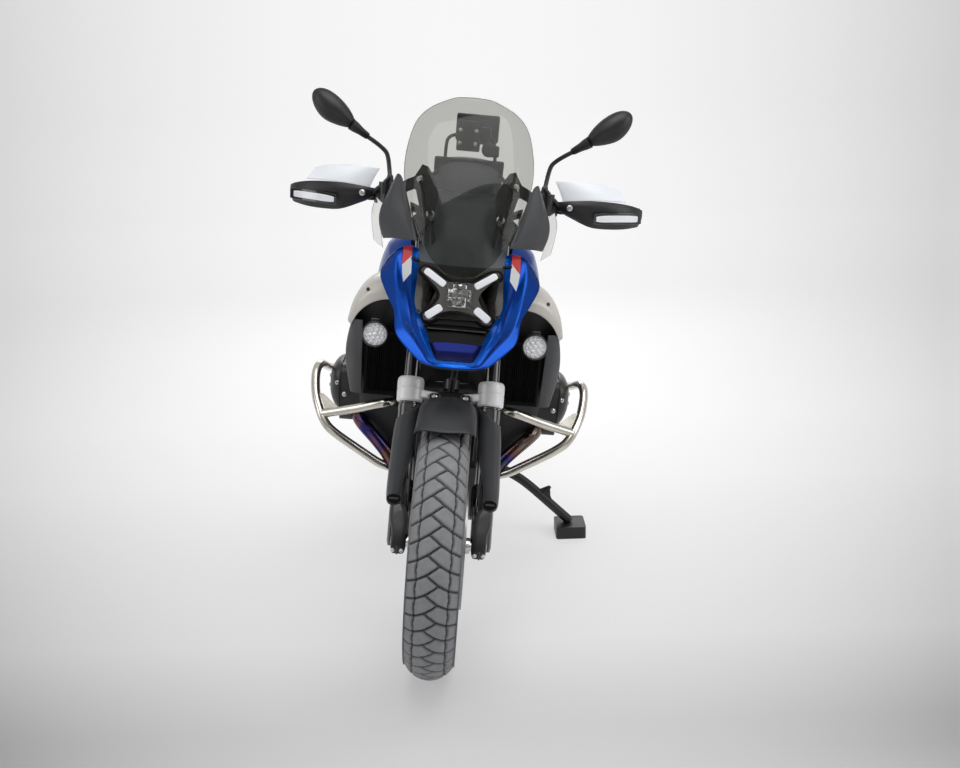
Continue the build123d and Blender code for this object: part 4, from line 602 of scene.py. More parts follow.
badge = [(120 + 11 * u, 425 + 2.2 * v) for u, v in ((-1, -1), (1, -1), (1.15, 0), (1, 1), (-1, 1), (-1.15, 0))]
badge = [(x, axis_y(z) - BADGE_AHEAD, z) for x, z in badge]
pair(prism, "cover_badge", badge, (0, -0.8, 0), "shroud", "fork", bevel=0.6)
LUG = [
    (414, 96, 126, 34, 66), (400, 86, 129, 22, 62), (378, 79, 129, 6, 50), (362, 80, 120, -7, 38),
    (345, 80, 119, -18, 32), (330, 80, 119, -24, 30), (312, 80, 119, -28, 28), (302, 84, 116, -24, 22),
]


def lug_ring(z, inner, outer, front, back):
    return [(inner + 4, front, z), (outer - 4, front, z), (outer, front + 5, z), (outer, back - 5, z),
            (outer - 4, back, z), (inner + 4, back, z), (inner, back - 5, z), (inner, front + 5, z)]


loft("axle_lugs", [lug_ring(*row) for row in LUG], "frame", "fork", ("fork_legs",), both=True, creases=(0, -1))
pair(block, "lug_slot", [(99.5, -30.5, 303), (103, -24, 326)], "gloss_black", "fork", 0.5)
pair(bolt_parts, "pinch_bolts", [((x, -28, 313), (0, -1, 0)) for x in (90, 111)], 4.6, "fork")
axle_cap = [(0, 12.5), (14, 12.5), (15, 11), (15, 7), (9, 7)]
pair(lathe, "axle_end", ((FORK_HALF, 0, FRONT_Z), (1, 0, 0)), axle_cap, "bolt", "fork", segments=32)

# brake calipers: cast outer and inner bodies, and bolts
CALIPER_Y, CALIPER_Z, CALIPER_TURN = 116, FRONT_Z + 74, math.radians(32)
CALIPER = [(-30, -44), (18, -46), (30, -30), (30, 30), (16, 46), (-26, 44), (-34, 20), (-34, -22)]
for sign, side in SIDES:
    c, s = math.cos(CALIPER_TURN), math.sin(CALIPER_TURN)
    outline = [(sign * 72, CALIPER_Y + y * c - z * s, CALIPER_Z + y * s + z * c) for y, z in CALIPER]
    prism(f"caliper_{side}", outline, (sign * 24, 0, 0), "frame", "fork", ("front_calipers",), 6)
    inner = [(x - sign * 30, y, z) for x, y, z in outline]
    prism(f"caliper_inner_{side}", inner, (sign * 17, 0, 0), "frame", "fork", ("front_calipers",), 4)
spots = [((96, CALIPER_Y + y, CALIPER_Z + z), (1, 0, 0)) for y, z in ((20, -26), (-20, 26), (0, 0))]
pair(bolt_parts, "caliper_bolts", spots, 6, "fork")

# ---- mirrors, guards and grips
MIRROR = [(308, 1300), (340, 1300), (368, 1307), (396, 1316), (418, 1338), (431, 1366), (430, 1390), (412, 1401)]
MIRROR += [(386, 1398), (356, 1380), (330, 1355), (311, 1325)]
MIRROR_MID = (374, 1350)


def mirror_ring(share, y):
    cx, cz = MIRROR_MID
    return [(cx + (x - cx) * share, y, cz + (z - cz) * share) for x, z in MIRROR]


shell = [(0.90, 478), (0.97, 478), (1.0, 472), (0.96, 464), (0.72, 452), (0.36, 445), (0.06, 443)]
loft("mirror_shells", [mirror_ring(*row) for row in shell], "guard", "fork", ("mirrors",), both=True)
glass = [mirror_ring(0.9, 478.2), mirror_ring(0.88, 479.4), mirror_ring(0.05, 479.6)]
loft("mirror_glass", glass, "reflector", "fork", ("mirrors",), 1, both=True)
stem = [(206, 458, 1126), (208, 466, 1150), (214, 490, 1190), (222, 500, 1235), (232, 500, 1250)]
stem += [(262, 488, 1272), (300, 474, 1294), (318, 466, 1308)]
pair(wire, "mirror_stem", stem, 6.2, "frame", "fork")
boot = [(0, 13), (14, 13.5), (20, 12), (44, 9.5), (58, 8.6), (60, 6.6)]
pair(lathe, "mirror_boot", ((206, 459, 1130), (7, 29, 56)), boot, "rubber", "fork", segments=24)
neck = [(0, 7), (3, 9.5), (26, 11.5), (44, 15), (56, 16)]
pair(lathe, "mirror_neck", ((276, 482, 1281), (46, -18, 31)), neck, "guard", "fork", segments=24)
GRIP_RIBS, RIB_PITCH, RIB = 26, 6.2, [(0, 16.6), (1.2, 17.0), (4.6, 17.0), (5.4, 16.4)]
ribs = [(k * RIB_PITCH + along, r) for k in range(GRIP_RIBS) for along, r in RIB]
grip = [(-4, 12), (-3, 20), (3, 20), (4, 16.6)] + [(a + 6, r) for a, r in ribs if a < 158] + [(166, 17.6), (168, 13)]
pair(lathe, "grip", ((302, 519.8, 1125), (168, 24.9, 0)), grip, "rubber", "fork", ("grips",), 40, 25)
lever = [(236, 492, 1122), (250, 466, 1121), (262, 462, 1120), (330, 472, 1122), (400, 482, 1121), (440, 490, 1119)]
pair(wire, "lever", lever, 5.6, "guard", "fork")

GUARD = [
    [(250, 462, 1148), (266, 450, 1151), (300, 441, 1156), (345, 438, 1160),
     (420, 458, 1157), (468, 488, 1148), (489, 512, 1138)],
    [(252, 454, 1138), (270, 440, 1139), (303, 430, 1138), (350, 427, 1136),
     (424, 447, 1131), (470, 478, 1126), (491, 508, 1118)],
    [(258, 456, 1122), (280, 446, 1120), (318, 440, 1108), (356, 440, 1104),
     (424, 456, 1102), (466, 482, 1102), (486, 508, 1102)],
    [(272, 470, 1112), (304, 468, 1098), (339, 466, 1083), (368, 464, 1081),
     (422, 474, 1082), (456, 492, 1086), (480, 510, 1091)],
]
skin("guard_shells", GUARD, "guard", 4, ("hand_guards",), 3, "fork", True, edge=0.9)
pair(wire, "guard_arm", [(284, 440, 1132), (272, 462, 1130), (262, 500, 1124)], 7, "frame", "fork")
root = [(262, 462, 1128), (246, 464, 1140), (226, 466, 1160), (212, 470, 1176)]
root = [[(x, y - reach, z + up) for x, y, z in root] for up, reach in ((-11, -4), (-6, 8), (6, 8), (11, -4))]
pair(skin, "guard_root", root, "guard", 6, body="fork")
guard_end = [(0, 15), (2, 16), (12, 16), (14, 13), (14, 6)]
pair(lathe, "guard_end", ((473, 545, 1125), (1, 0, 0)), guard_end, "frame", "fork", segments=28)
pair(wire, "guard_stay", [(480, 546, 1125), (482, 520, 1122), (478, 500, 1118)], 6, "frame", "fork")
pair(bolt_parts, "guard_bolt", [((281, 436.5, 1135), (0, -1, 0.15))], 6.5, "fork")
STRIP = [(354, 424.6, 1112, -1), (368, 428, 1113, 0), (402, 437.5, 1115, 0), (434, 451, 1116, 0), (466, 474, 1116, 0)]
STRIP += [(481, 488, 1115.5, 0.6)]
for kind, grow, proud, look in (("recess", 6.5, 2.2, "gloss_black"), ("strip", 0.0, 3.6, "led")):
    rows = []
    for x, y, z, out in STRIP:
        tall = grow + (6.4 if out else 9.2)
        rows.append([(x + grow * out, y - proud + abs(h) * 0.02, z + h) for h in (-tall, -tall / 2, tall / 2, tall)])
    pair(skin, f"guard_{kind}", rows, look, 2.2, body="fork", edge=0.8)

SPOILER = [
    [(262, 452, 1149), (300, 440, 1155), (345, 437, 1160), (400, 451, 1161), (437, 466, 1160)],
    [(252, 456, 1176), (290, 447, 1184), (340, 446, 1187), (388, 460, 1184), (426, 476, 1176)],
    [(238, 462, 1201), (268, 458, 1207), (320, 460, 1206), (378, 472, 1202), (414, 486, 1192)],
]
skin("spoiler_shells", SPOILER, "spoiler", 3, ("guard_spoilers",), body="fork", both=True)

# ---- screen, its brackets and the dash
SCREEN = [
    (153, 967, 40, 157, 973), (160, 1000, 78, 165, 1003), (170, 1045, 108, 190, 1047), (188, 1108, 140, 232, 1112),
    (222, 1195, 171, 290, 1203), (262, 1270, 160, 338, 1288), (312, 1335, 145, 372, 1340), (350, 1375, 105, 380, 1376),
    (384, 1401, 50, 388, 1397),
]


def screen_line(mid_y, mid_z, edge_x, edge_y, edge_z):
    """A row across the screen: nearly flat in the middle, swept back to its edges."""
    half = [(0, mid_y - 1.5, mid_z)]
    for across, back, rise in ((0.36, 0.08, 0.2), (0.72, 0.3, 0.5), (0.88, 0.62, 0.76), (1, 1, 1)):
        half.append((across * edge_x, mid_y + back * (edge_y - mid_y), mid_z + rise * (edge_z - mid_z)))
    return whole(half)


screen = [screen_line(*row) for row in SCREEN]
windscreen = skin("windscreen", screen, "screen", 4.2, ("screen",), crease_columns=(2, 6), edge=0.9)
# the rim faces take the opaque grey: painted reflection of the clear edge
windscreen.data.materials.append(MAT["screen_rim_painted_reflection"])
windscreen.modifiers["thick"].material_offset_rim = 1
WINGLET = [
    [(210, 346, 1000), (222, 354, 1004), (236, 362, 1016)],
    [(216, 352, 1030), (236, 366, 1040), (246, 374, 1062)],
    [(220, 354, 1060), (238, 368, 1076), (249, 378, 1096)],
    [(214, 352, 1112), (226, 360, 1120), (236, 368, 1128)],
]
skin("winglets", WINGLET, "winglet", 3, both=True)
PLATE = [(167, 1180), (132, 1197), (120, 1226), (106, 1226), (92, 1206), (70, 1162), (75, 1124), (84, 1094)]
PLATE += [(106, 1068), (128, 1048), (149, 1096)]
PLATE_HOLE = [(152, 1156), (130, 1166), (119, 1130), (117, 1112), (134, 1096)]
PLATE_STEPS, PLATE_THICK, PLATE_SLOPE = 24, 4, 0.36


def plate_y(z):
    return 222 + (z - 1048) * PLATE_SLOPE


def along(loop, share):
    """Point at a share of the way round a closed loop."""
    ends = list(zip(loop, loop[1:] + loop[:1]))
    target = share * sum(math.dist(a, b) for a, b in ends)
    for a, b in ends:
        length = math.dist(a, b)
        if target <= length:
            return (a[0] + (b[0] - a[0]) * target / length, a[1] + (b[1] - a[1]) * target / length)
        target -= length
    return loop[0]


# bracket behind the screen: a plate with an opening, as rings of quads between outline and hole
points, faces = [], []
for depth in (0, PLATE_THICK):
    for loop in (PLATE, PLATE_HOLE):
        spots = [along(loop, k / PLATE_STEPS) for k in range(PLATE_STEPS)]
        points += [(x, plate_y(z) + depth, z) for x, z in spots]
for k in range(PLATE_STEPS):
    a, b, c, d = (k + n * PLATE_STEPS for n in range(4))
    e, f, g, h = ((k + 1) % PLATE_STEPS + n * PLATE_STEPS for n in range(4))
    faces += [(a, e, f, b), (c, d, h, g), (a, c, g, e), (b, f, h, d)]
pair(build, "screen_bracket", points, faces, "deflector", "chassis", angle=35)
spots = [((x, plate_y(z) - 1, z), (0, -0.93, PLATE_SLOPE)) for x, z in ((119, 1188), (89, 1107))]
pair(bolt_parts, "screen_bolts", spots, 8.5)

HOOD = [
    (364, 1156, 80, 4), (368, 1166, 87, 10), (376, 1186, 92, 16), (392, 1215, 92, 22), (414, 1236, 84, 20),
    (440, 1246, 74, 14),
]
HOOD_LINE = whole([(0, 0, 4), (0.55, 2, 2), (0.9, 12, -6), (1.0, 28, -16)])
hood = [[(half * s, y + back, z + rise * (0.4 + dome / 30)) for s, back, rise in HOOD_LINE]
        for y, z, half, dome in HOOD]
skin("dash_hood", hood, "hood", 4, ("display",))
face = [(-84, 446, 1170), (84, 446, 1170), (84, 418, 1240), (-84, 418, 1240)]
prism("dash_screen", face, (0, 14, 5), "gloss_black", replaced=("display",), bevel=5)
frame_face = [(x * 1.1, y - 8, z + (3 if z > 1200 else -3)) for x, y, z in face]
prism("dash_body", frame_face, (0, 12, 4), "guard", replaced=("display",), bevel=6)
hoop = [(-64, 424, 1200), (-66, 426, 1272), (-60, 428, 1298), (-34, 430, 1306), (20, 430, 1308), (54, 430, 1304)]
wire("navigator_hoop", hoop + [(66, 428, 1286), (71, 424, 1190)], 4.6, "frame")
for part, corners, look, bevel in (
    ("plate", [(-38, 414, 1264), (24, 424, 1343)], "guard", 4),
    ("back", [(-42, 440, 1290), (72, 462, 1360)], "guard", 5),
    ("link", [(-20, 424, 1284), (52, 441, 1330)], "frame", 4),
    ("clip", [(40, 404, 1254), (76, 424, 1284)], "guard", 5),
):
    block(f"navigator_{part}", corners, look, bevel=bevel)
knob = [(0, 17), (4, 19), (16, 19), (20, 16), (22, 8)]
lathe("navigator_knob", ((48, 424, 1270), (0, -0.9, 0.2)), knob, "guard", segments=12)
bolt_parts("navigator_bolts", [((x, 413, z), (0, -1, 0)) for x in (-30, 12) for z in (1284, 1317)], 4.2)
DEFLECTOR = [
    [(116, 212, 1042), (144, 238, 1040), (184, 276, 1036), (208, 308, 1030)],
    [(126, 226, 1074), (156, 248, 1074), (192, 284, 1070), (222, 314, 1062)],
    [(140, 244, 1110), (166, 260, 1112), (200, 290, 1110), (224, 318, 1100)],
    [(153, 268, 1146), (170, 278, 1150), (196, 298, 1148), (206, 318, 1142)],
    [(166, 296, 1186), (172, 300, 1196), (180, 306, 1198), (184, 318, 1194)],
]
skin("deflector_panels", DEFLECTOR, "deflector", 3, ("deflectors",), both=True, crease_columns=(2,))

# ---- beak, tray and headlamp
BLADE = [
    [(0, 14, 789), (0, 1, 784), (0, -1, 782), (0, -5, 779), (0, -7, 775), (0, 4, 772)],
    [(30, 14, 788), (34, 2, 783), (38, 1, 781), (43, -3, 779), (50, -4, 776), (48, 6, 773)],
    [(44, 17, 788), (51, 4, 784), (58, 8, 783), (66, 3, 782), (80, 6, 781), (74, 18, 778)],
    [(48, 24, 793), (55, 10, 790), (66, 20, 793), (73, 14, 794), (93, 15, 789), (86, 28, 786)],
    [(57, 56, 812), (67, 34, 811), (84, 47, 815), (92, 36, 816), (124, 38, 813), (115, 54, 808)],
    [(71, 89, 836), (84, 64, 838), (101, 68, 835), (114, 60, 839), (149, 59, 836), (138, 78, 830)],
    [(87, 121, 862), (99, 92, 863), (112, 93, 853), (134, 86, 858), (152, 92, 860), (143, 114, 854)],
    [(97, 136, 876), (109, 110, 880), (117, 117, 873), (149, 118, 884), (156, 122, 882), (149, 146, 876)],
    [(108, 156, 898), (119, 136, 901), (124, 144, 896), (156, 146, 906), (169, 146, 894), (163, 172, 888)],
    [(110, 180, 927), (121, 163, 928), (134, 172, 918), (161, 184, 935), (190, 192, 922), (184, 222, 916)],
    [(109, 202, 954), (124, 190, 962), (142, 196, 934), (167, 216, 963), (206, 228, 946), (202, 262, 940)],
    [(108, 230, 988), (127, 236, 1006), (152, 236, 976), (170, 248, 993), (202, 250, 962), (198, 288, 956)],
    [(111, 252, 1018), (128, 258, 1024), (151, 270, 1018), (167, 272, 1010), (196, 276, 980), (192, 312, 974)],
]
# painted highlight: lighter blue along each blade's inner edge and at its tip
BLADE_PAINT = {(strip, 0): "blue_bright" for strip in range(12)}
BLADE_PAINT |= {(0, 1): "blue_bright", (0, 2): "blue_bright", (1, 1): "blue_bright"}
BLADE_PAINT |= {(10, 1): "white_stripe", (11, 1): "red_stripe"}
skin("beak_shell", BLADE, "blue", 3, ("beak",), both=True, crease_columns=(1, 2, 3, 4), crease=1.0, paints=BLADE_PAINT)
TRAY = [
    [(0, 70, 822), (30, 70, 822), (58, 66, 821), (66, 58, 822)],
    [(0, 56, 806), (26, 56, 806), (49, 52, 805), (57, 42, 808)],
    [(0, 40, 796), (22, 40, 796), (42, 38, 796), (51, 28, 798)],
    [(0, 16, 787), (20, 16, 787), (38, 17, 787), (46, 18, 789)],
]
# the tray in a darker copy of the beak's blue: painted shade under the lamp
skin("beak_tray", [whole(row) for row in TRAY], "blue_deep", 3, crease_columns=(1, 5))

LAMP_ORIGIN, LAMP_UP, LAMP_OUT = Vector((0, 150, 923)), Vector((0, 0.329, 0.944)), Vector((0, -0.944, 0.329))


def on_lamp(u, v, out=0.0):
    return LAMP_ORIGIN + Vector((u, 0, 0)) + LAMP_UP * v + LAMP_OUT * out


def rounded(points, radius, steps=5):
    """Closed outline with its corners rounded."""
    result = []
    count = len(points)
    for i in range(count):
        before, here, after = (Vector(points[(i + k) % count]) for k in (-1, 0, 1))
        room = min((before - here).length, (after - here).length) / 2.05
        reach = min(radius, room)
        start = here + (before - here).normalized() * reach
        end = here + (after - here).normalized() * reach
        for k in range(steps + 1):
            t = k / steps
            result.append(tuple((1 - t) ** 2 * start + 2 * t * (1 - t) * here + t * t * end))
    return result


def inset(points, depth):
    """Clockwise closed outline moved inwards along its own normals."""
    result = []
    for i, (u, v) in enumerate(points):
        way = Vector(points[(i + 1) % len(points)]) - Vector(points[i - 1])
        side = Vector((way.y, -way.x)).normalized() * depth
        result.append((u + side.x, v + side.y))
    return result


def lamp_plate(name, outline, out, depth, look, replaced=(), bevel=1.5):
    """Plate in the lamp's plane, from its outline and how far out it starts."""
    prism(name, [on_lamp(u, v, out) for u, v in outline], LAMP_OUT * depth, look, replaced=replaced, bevel=bevel)


ARM_HALF = [(0, 35), (24, 37), (72, 70), (98, 74), (110, 54), (62, 10), (54, -4), (66, -24), (96, -50), (90, -74)]
ARM_HALF += [(64, -76), (26, -47), (0, -46)]
arms = rounded(ARM_HALF + [(-u, v) for u, v in ARM_HALF[-2:0:-1]], 12)
lamp_plate("lamp_arms", arms, -16, 20, "fin_black", bevel=4)
lamp_plate("lamp_core", inset(arms, 8.0), 0, 5, "arm_glass", bevel=1)


def bar_outline(a, b, half):
    """Outline of a bar from a to b, with round ends."""
    a, b = Vector(a), Vector(b)
    way = (b - a).normalized() * half
    across = Vector((-way.y, way.x))
    corners = [a - way * 0.6 + across, b + way * 0.6 + across, b + way * 0.6 - across, a - way * 0.6 - across]
    return rounded([tuple(c) for c in corners], half * 0.85)


for bar_name, a, b, half in (("upper", (85, 55), (41, 26), 8.6), ("lower", (74, -55), (46, -34), 10.0)):
    for sign, side in SIDES:
        outline = bar_outline((sign * a[0], a[1]), (sign * b[0], b[1]), half)
        lamp_plate(f"light_bar_{bar_name}_{side}", outline, 2, 4.5, "led", ("light_bars",), 2)
points, faces = [], []
FACET_OUT, FACET_STEP = 5.3, 5.5  # where the facets start, and half a facet
for i in range(-2, 3):
    for j in range(-2, 3):
        if abs(i) + abs(j) > 3:
            continue
        u, v = i * 2 * FACET_STEP, j * 2 * FACET_STEP
        base = len(points)
        square = ((-1, -1), (1, -1), (1, 1), (-1, 1))
        points += [on_lamp(u + a * FACET_STEP, v + b * FACET_STEP, FACET_OUT) for a, b in square]
        tip = u + random.uniform(-2, 2), v + random.uniform(-2, 2), FACET_OUT + random.uniform(2.5, 6)
        points.append(on_lamp(*tip))
        faces += [(base + k, base + (k + 1) % 4, base + 4) for k in range(4)]
        faces.append((base + 3, base + 2, base + 1, base))
build("lamp_facets", points, faces, "reflector", "chassis", angle=10)
cover = rounded([(-31, -31), (31, -31), (31, 32), (-31, 32)], 8)
lamp_plate("lamp_cover", cover, 2, 11, "lens", ("headlamp_lens",), 3)

SURROUND = [
    (850, [(0, 139), (48, 139), (70, 131), (86, 116)]),
    (862, [(0, 143), (50, 143), (76, 137), (92, 126)]),
    (880, [(0, 149), (56, 148), (84, 140), (104, 132)]),
    (905, [(0, 158), (60, 158), (92, 158), (114, 156)]),
    (930, [(0, 166), (60, 167), (94, 178), (116, 186)]),
    (960, [(0, 177), (60, 181), (94, 200), (114, 210)]),
    (990, [(0, 187), (60, 196), (94, 222), (113, 234)]),
    (1022, [(0, 200), (60, 212), (94, 246), (115, 258)]),
    (1060, [(0, 222), (50, 230), (80, 256), (96, 272)]),
    (1100, [(0, 262), (46, 268), (74, 284), (90, 296)]),
    (1138, [(0, 296), (42, 300), (66, 308), (82, 314)]),
    (1152, [(0, 330), (42, 332), (66, 336), (84, 340)]),
    (1162, [(0, 372), (42, 374), (66, 376), (84, 378)]),
]
surround = [whole([(x, y, z) for x, y in row]) for z, row in SURROUND]
cowl = {(i, j): "cowl" for i in range(6, 12) for j in range(6)}
skin("lamp_surround", surround, "lamp_dark", 3, ("headlamp",), paints=cowl)
SLOT = ((150, 852), (112, 846), (100, 832), (84, 822), (60, 800))
skin("beak_slot", [[(x, y, z) for x in (-84, -40, 0, 40, 84)] for y, z in SLOT], "fin_black", 3, level=1)
LIP = ((118, 846.5), (112, 848.5), (106, 846))
lip = [[(x, y - abs(x) * 0.06, z) for x in (-72, -36, 0, 36, 72)] for y, z in LIP]
skin("slot_lip", lip, "frame", 1.6, level=1)

# ---- side panels, fog lamps and radiators
SILVER = [
    [(172, 262, 880), (186, 270, 902), (202, 292, 922), (210, 350, 934), (206, 430, 934), (190, 560, 908)],
    [(196, 270, 877), (208, 276, 900), (220, 296, 914), (230, 350, 926), (236, 430, 918), (215, 570, 892)],
    [(222, 279, 866), (234, 284, 888), (245, 300, 900), (252, 350, 908), (256, 440, 896), (228, 580, 867)],
    [(246, 289, 848), (257, 294, 868), (266, 310, 878), (270, 360, 882), (267, 450, 870), (238, 585, 840)],
    [(266, 303, 824), (276, 308, 838), (283, 324, 846), (284, 370, 846), (276, 460, 836), (242, 590, 815)],
    [(280, 322, 792), (289, 328, 800), (292, 346, 804), (290, 390, 804), (280, 470, 802), (244, 592, 796)],
]
skin("side_shells", SILVER, "silver", 3.5, ("side_panels",), both=True, crease_columns=(1,), edge=0.9)
LINER = [
    [(128, 300, 876), (172, 300, 884), (214, 312, 876), (250, 330, 856), (276, 350, 812)],
    [(126, 318, 840), (170, 318, 840), (214, 324, 836), (246, 336, 826), (270, 350, 800)],
    [(126, 340, 790), (170, 336, 786), (214, 334, 784), (240, 340, 782), (262, 350, 780)],
]
skin("side_liners", LINER, "black", 3, both=True)
SHROUD = [
    [(246, 298, 812), (262, 304, 812), (277, 322, 808), (274, 420, 797), (258, 520, 790)],
    [(244, 290, 762), (267, 303, 764), (290, 342, 760), (283, 430, 756), (264, 530, 748)],
    [(243, 288, 712), (269, 304, 712), (295, 352, 706), (287, 440, 706), (268, 540, 700)],
    [(241, 292, 658), (264, 306, 656), (286, 344, 656), (279, 412, 660), (256, 482, 672)],
    [(239, 300, 612), (256, 308, 608), (272, 328, 606), (266, 382, 614), (246, 425, 640)],
]
skin("radiator_shrouds", SHROUD, "shroud", 3, ("shrouds",), both=True, crease_columns=(2,))
DUCT = [
    [(44, 352, 792), (90, 354, 792), (134, 336, 792), (190, 336, 792), (250, 340, 786)],
    [(44, 350, 700), (90, 352, 700), (134, 336, 700), (190, 336, 700), (262, 340, 700)],
    [(50, 356, 606), (92, 356, 606), (134, 338, 606), (190, 338, 606), (248, 342, 610)],
    [(66, 400, 560), (100, 404, 556), (140, 396, 552), (196, 392, 552), (252, 398, 560)],
    [(88, 420, 512), (118, 424, 506), (150, 420, 500), (196, 418, 504), (240, 420, 516)],
    [(96, 440, 452), (126, 444, 440), (158, 440, 430), (196, 438, 436), (228, 440, 468)],
    [(104, 448, 400), (130, 450, 392), (158, 448, 388), (186, 446, 396), (206, 448, 430)],
]
skin("radiator_ducts", DUCT, "black", 3, level=1, both=True)
FOG_BODY = [(-4, 12), (-2, 26), (10, 31), (34, 33), (40, 33.5), (42, 32), (42, 30), (36, 29.4), (36, 4)]
FOG_DISH = [(33, 29.6), (36.4, 29.4), (36.6, 22), (36.2, 2)]
STUD_RINGS = ((22.5, 12, 4.6), (12.5, 6, 5.4), (0.1, 1, 6.2))  # ring radius, how many, stud radius
SLATS, SLAT_PITCH, SLAT_HALF = 19, 5.05, 0.9
for sign, side in SIDES:
    fog, fog_axis = Vector((sign * 207, 246, 796)), Vector((sign * -0.04, -1, 0.02))
    lathe(f"fog_body_{side}", (fog, fog_axis), FOG_BODY, "frame", replaced=("fog_lamps",))
    lathe(f"fog_dish_{side}", (fog, fog_axis), FOG_DISH, "fog_glass")
    studs = []
    for ring_radius, count, stud in STUD_RINGS:
        dome = [(36, stud), (38.2, stud * 0.92), (40, stud * 0.55), (40.6, stud * 0.12)]
        for c, s in circle(count, 0.2):
            line = (fog + Vector((ring_radius * c, 0, ring_radius * s)), fog_axis)
            studs.append(lathe(f"fog_stud_{side}_{len(studs)}", line, dome, "fog_glass", segments=6, angle=20))
    join(f"fog_studs_{side}", studs)
    slats = []
    for k in range(SLATS):
        x = 137.5 + k * SLAT_PITCH
        low, high = sign * (x - SLAT_HALF), sign * (x + SLAT_HALF)
        rows = [(low, 293.4, 622), (high, 293.4, 622), (high, 293.4, 780), (low, 293.4, 780)]
        slats.append(prism(f"slat_{side}_{k}", rows, (0, -5.5, 0), "fin_black", bevel=0.3, segments=1))
    join(f"radiator_slats_{side}", slats)
pair(wire, "fog_stay", [(207, 240, 800), (206, 268, 800), (204, 296, 786), (204, 310, 768)], 6.5, "frame")
pair(block, "fog_clamp", [(195, 236, 816), (219, 250, 832)], "frame", bevel=3)
pair(bolt_parts, "side_bolt", [((237, 291, 897), (0.35, -0.75, 0.5))], 4, "chassis", "frame")
TANK_SKIN = [
    [(137, 478, 977), (152, 560, 1033), (152, 660, 1038), (112, 762, 992)],
    [(172, 474, 969), (186, 560, 1015), (186, 660, 1013), (150, 762, 966)],
    [(193, 470, 956), (212, 560, 991), (212, 660, 986), (177, 762, 931)],
    [(209, 470, 930), (230, 560, 949), (227, 660, 938), (189, 762, 889)],
    [(218, 469, 905), (237, 560, 905), (233, 660, 890), (194, 762, 850)],
]
skin("tank_skins", TANK_SKIN, "blue", 4, ("tank_panels",), 3, both=True, crease_rows=(2,), crease=0.45)

# ---- engine: covers, exhaust and crash bars
CRANK_Y, COVER_SQUARE, COVER_Z = 545, 0.62, 583


def cushion_ring(x, mid_z, half_y, half_z):
    """Soft-cornered loop around the cylinders' line."""
    ring = []
    for c, s in circle(20):
        y, z = (math.copysign(abs(share) ** COVER_SQUARE, share) for share in (c, s))
        ring.append((x, CRANK_Y + half_y * y, mid_z + half_z * z))
    return ring


COVER_RINGS = [(312.4, 574, 93, 76), (318, 575, 92, 75), (329, 578, 85, 67), (338, 581, 74, 54), (345, 583, 58, 38)]
COVER_RINGS += [(347.6, 584, 38, 22)]
rings = [cushion_ring(*row) for row in COVER_RINGS]
loft("cylinder_covers", rings, "head", replaced=("head_covers",), both=True, creases=(0,))
spots = [((347, CRANK_Y + y, COVER_Z + z), (1, 0, 0)) for y, z in ((-30, 14), (30, 14), (-30, -14), (30, -14))]
spots += [((322, CRANK_Y - 86, 592), (0.3, -1, 0.2)), ((300, 456, 560), (0, -1, 0))]
pair(bolt_parts, "cover_bolts", spots, 6)
pipe = [(262, 474, 508), (256, 430, 506), (236, 404, 490), (196, 398, 452), (158, 404, 405), (134, 418, 345)]
pipe += [(128, 440, 290), (110, 500, 262), (44, 570, 262)]
pair(wire, "header", pipe, 19, "headers", "chassis", ("headers",))
bar = [(112, 454, 350), (161, 400, 366), (240, 374, 424), (322, 351, 484), (344, 358, 510), (357, 373, 534)]
bar += [(374, 406, 564), (383, 446, 600), (384, 470, 622), (379, 492, 633), (372, 530, 626), (366, 600, 600)]
bar += [(362, 660, 584), (340, 696, 568), (300, 706, 556), (118, 704, 500)]
pair(wire, "crash_bar", bar, 12.5, "stainless", "chassis", ("crash_bars",))
arm = [(352, 368, 524), (268, 335, 553), (194, 304, 584), (172, 302, 590), (150, 330, 586), (116, 480, 546)]
pair(wire, "crash_arm", arm, 12.5, "stainless", "chassis", ("crash_bars",))
plate = [(372, 410, 574), (352, 402, 572), (322, 384, 553), (300, 366, 543), (330, 362, 532), (356, 378, 536)]
pair(prism, "gusset", plate, (0, 3, 0), "stainless", bevel=0.8)
COLLECTOR = ((548, 0, 62, 240, 284), (600, 0, 88, 238, 286), (688, 0, 88, 238, 286), (720, -30, 50, 240, 284))
rings = []
for y, mid_x, half, low, high in COLLECTOR:
    corners = [(mid_x - half, y, low), (mid_x + half, y, low), (mid_x + half, y, high), (mid_x - half, y, high)]
    rings.append(rounded(corners, 18, 4))
loft("collector_box", rings, "headers", replaced=("headers",), level=0, creases=(0, -1), angle=50)
link = [(-30, 712, 262), (-66, 760, 262), (-110, 822, 262), (-168, 900, 268), (-206, 1010, 330), (-214, 1090, 358)]
wire("link_pipe", link, 24, "headers", replaced=("headers",))

# ---- side stand and number plate
leg = [(176, 812, 253), (216, 806, 240), (272, 798, 214), (350, 789, 157), (430, 780, 97)]
wire("stand_leg", leg, 15.5, "guard", "side_stand")
spur = [(312, 788, 184), (378, 780, 138), (362, 778, 176), (357, 774, 208), (350, 775, 209)]
prism("stand_spur", spur, (0, 9, 0), "guard", "side_stand", bevel=2)
plate_face = [(x, 1879.6 - 0.07 * (z - 676), z) for x, z in ((-86, 594), (86, 594), (86, 758), (-86, 758))]
prism("blank_plate", plate_face, (0, 0.7, 0.05), "plate", bevel=0.2)

# ---- seats: padded by a short cloth simulation
PAD_VOXEL, PAD_SHRINK, PAD_SWELL = 0.006, 0.005, 0.008  # metres
PAD_FRAMES, PAD_PRESSURE = 20, 4.0


def bake_modifiers(piece):
    """Applies what the modifiers make of a piece to its mesh."""
    graph = bpy.context.evaluated_depsgraph_get()
    result = bpy.data.meshes.new_from_object(piece.evaluated_get(graph))
    result.materials.clear()
    for look in piece.data.materials:
        result.materials.append(look)
    piece.modifiers.clear()
    piece.data = result


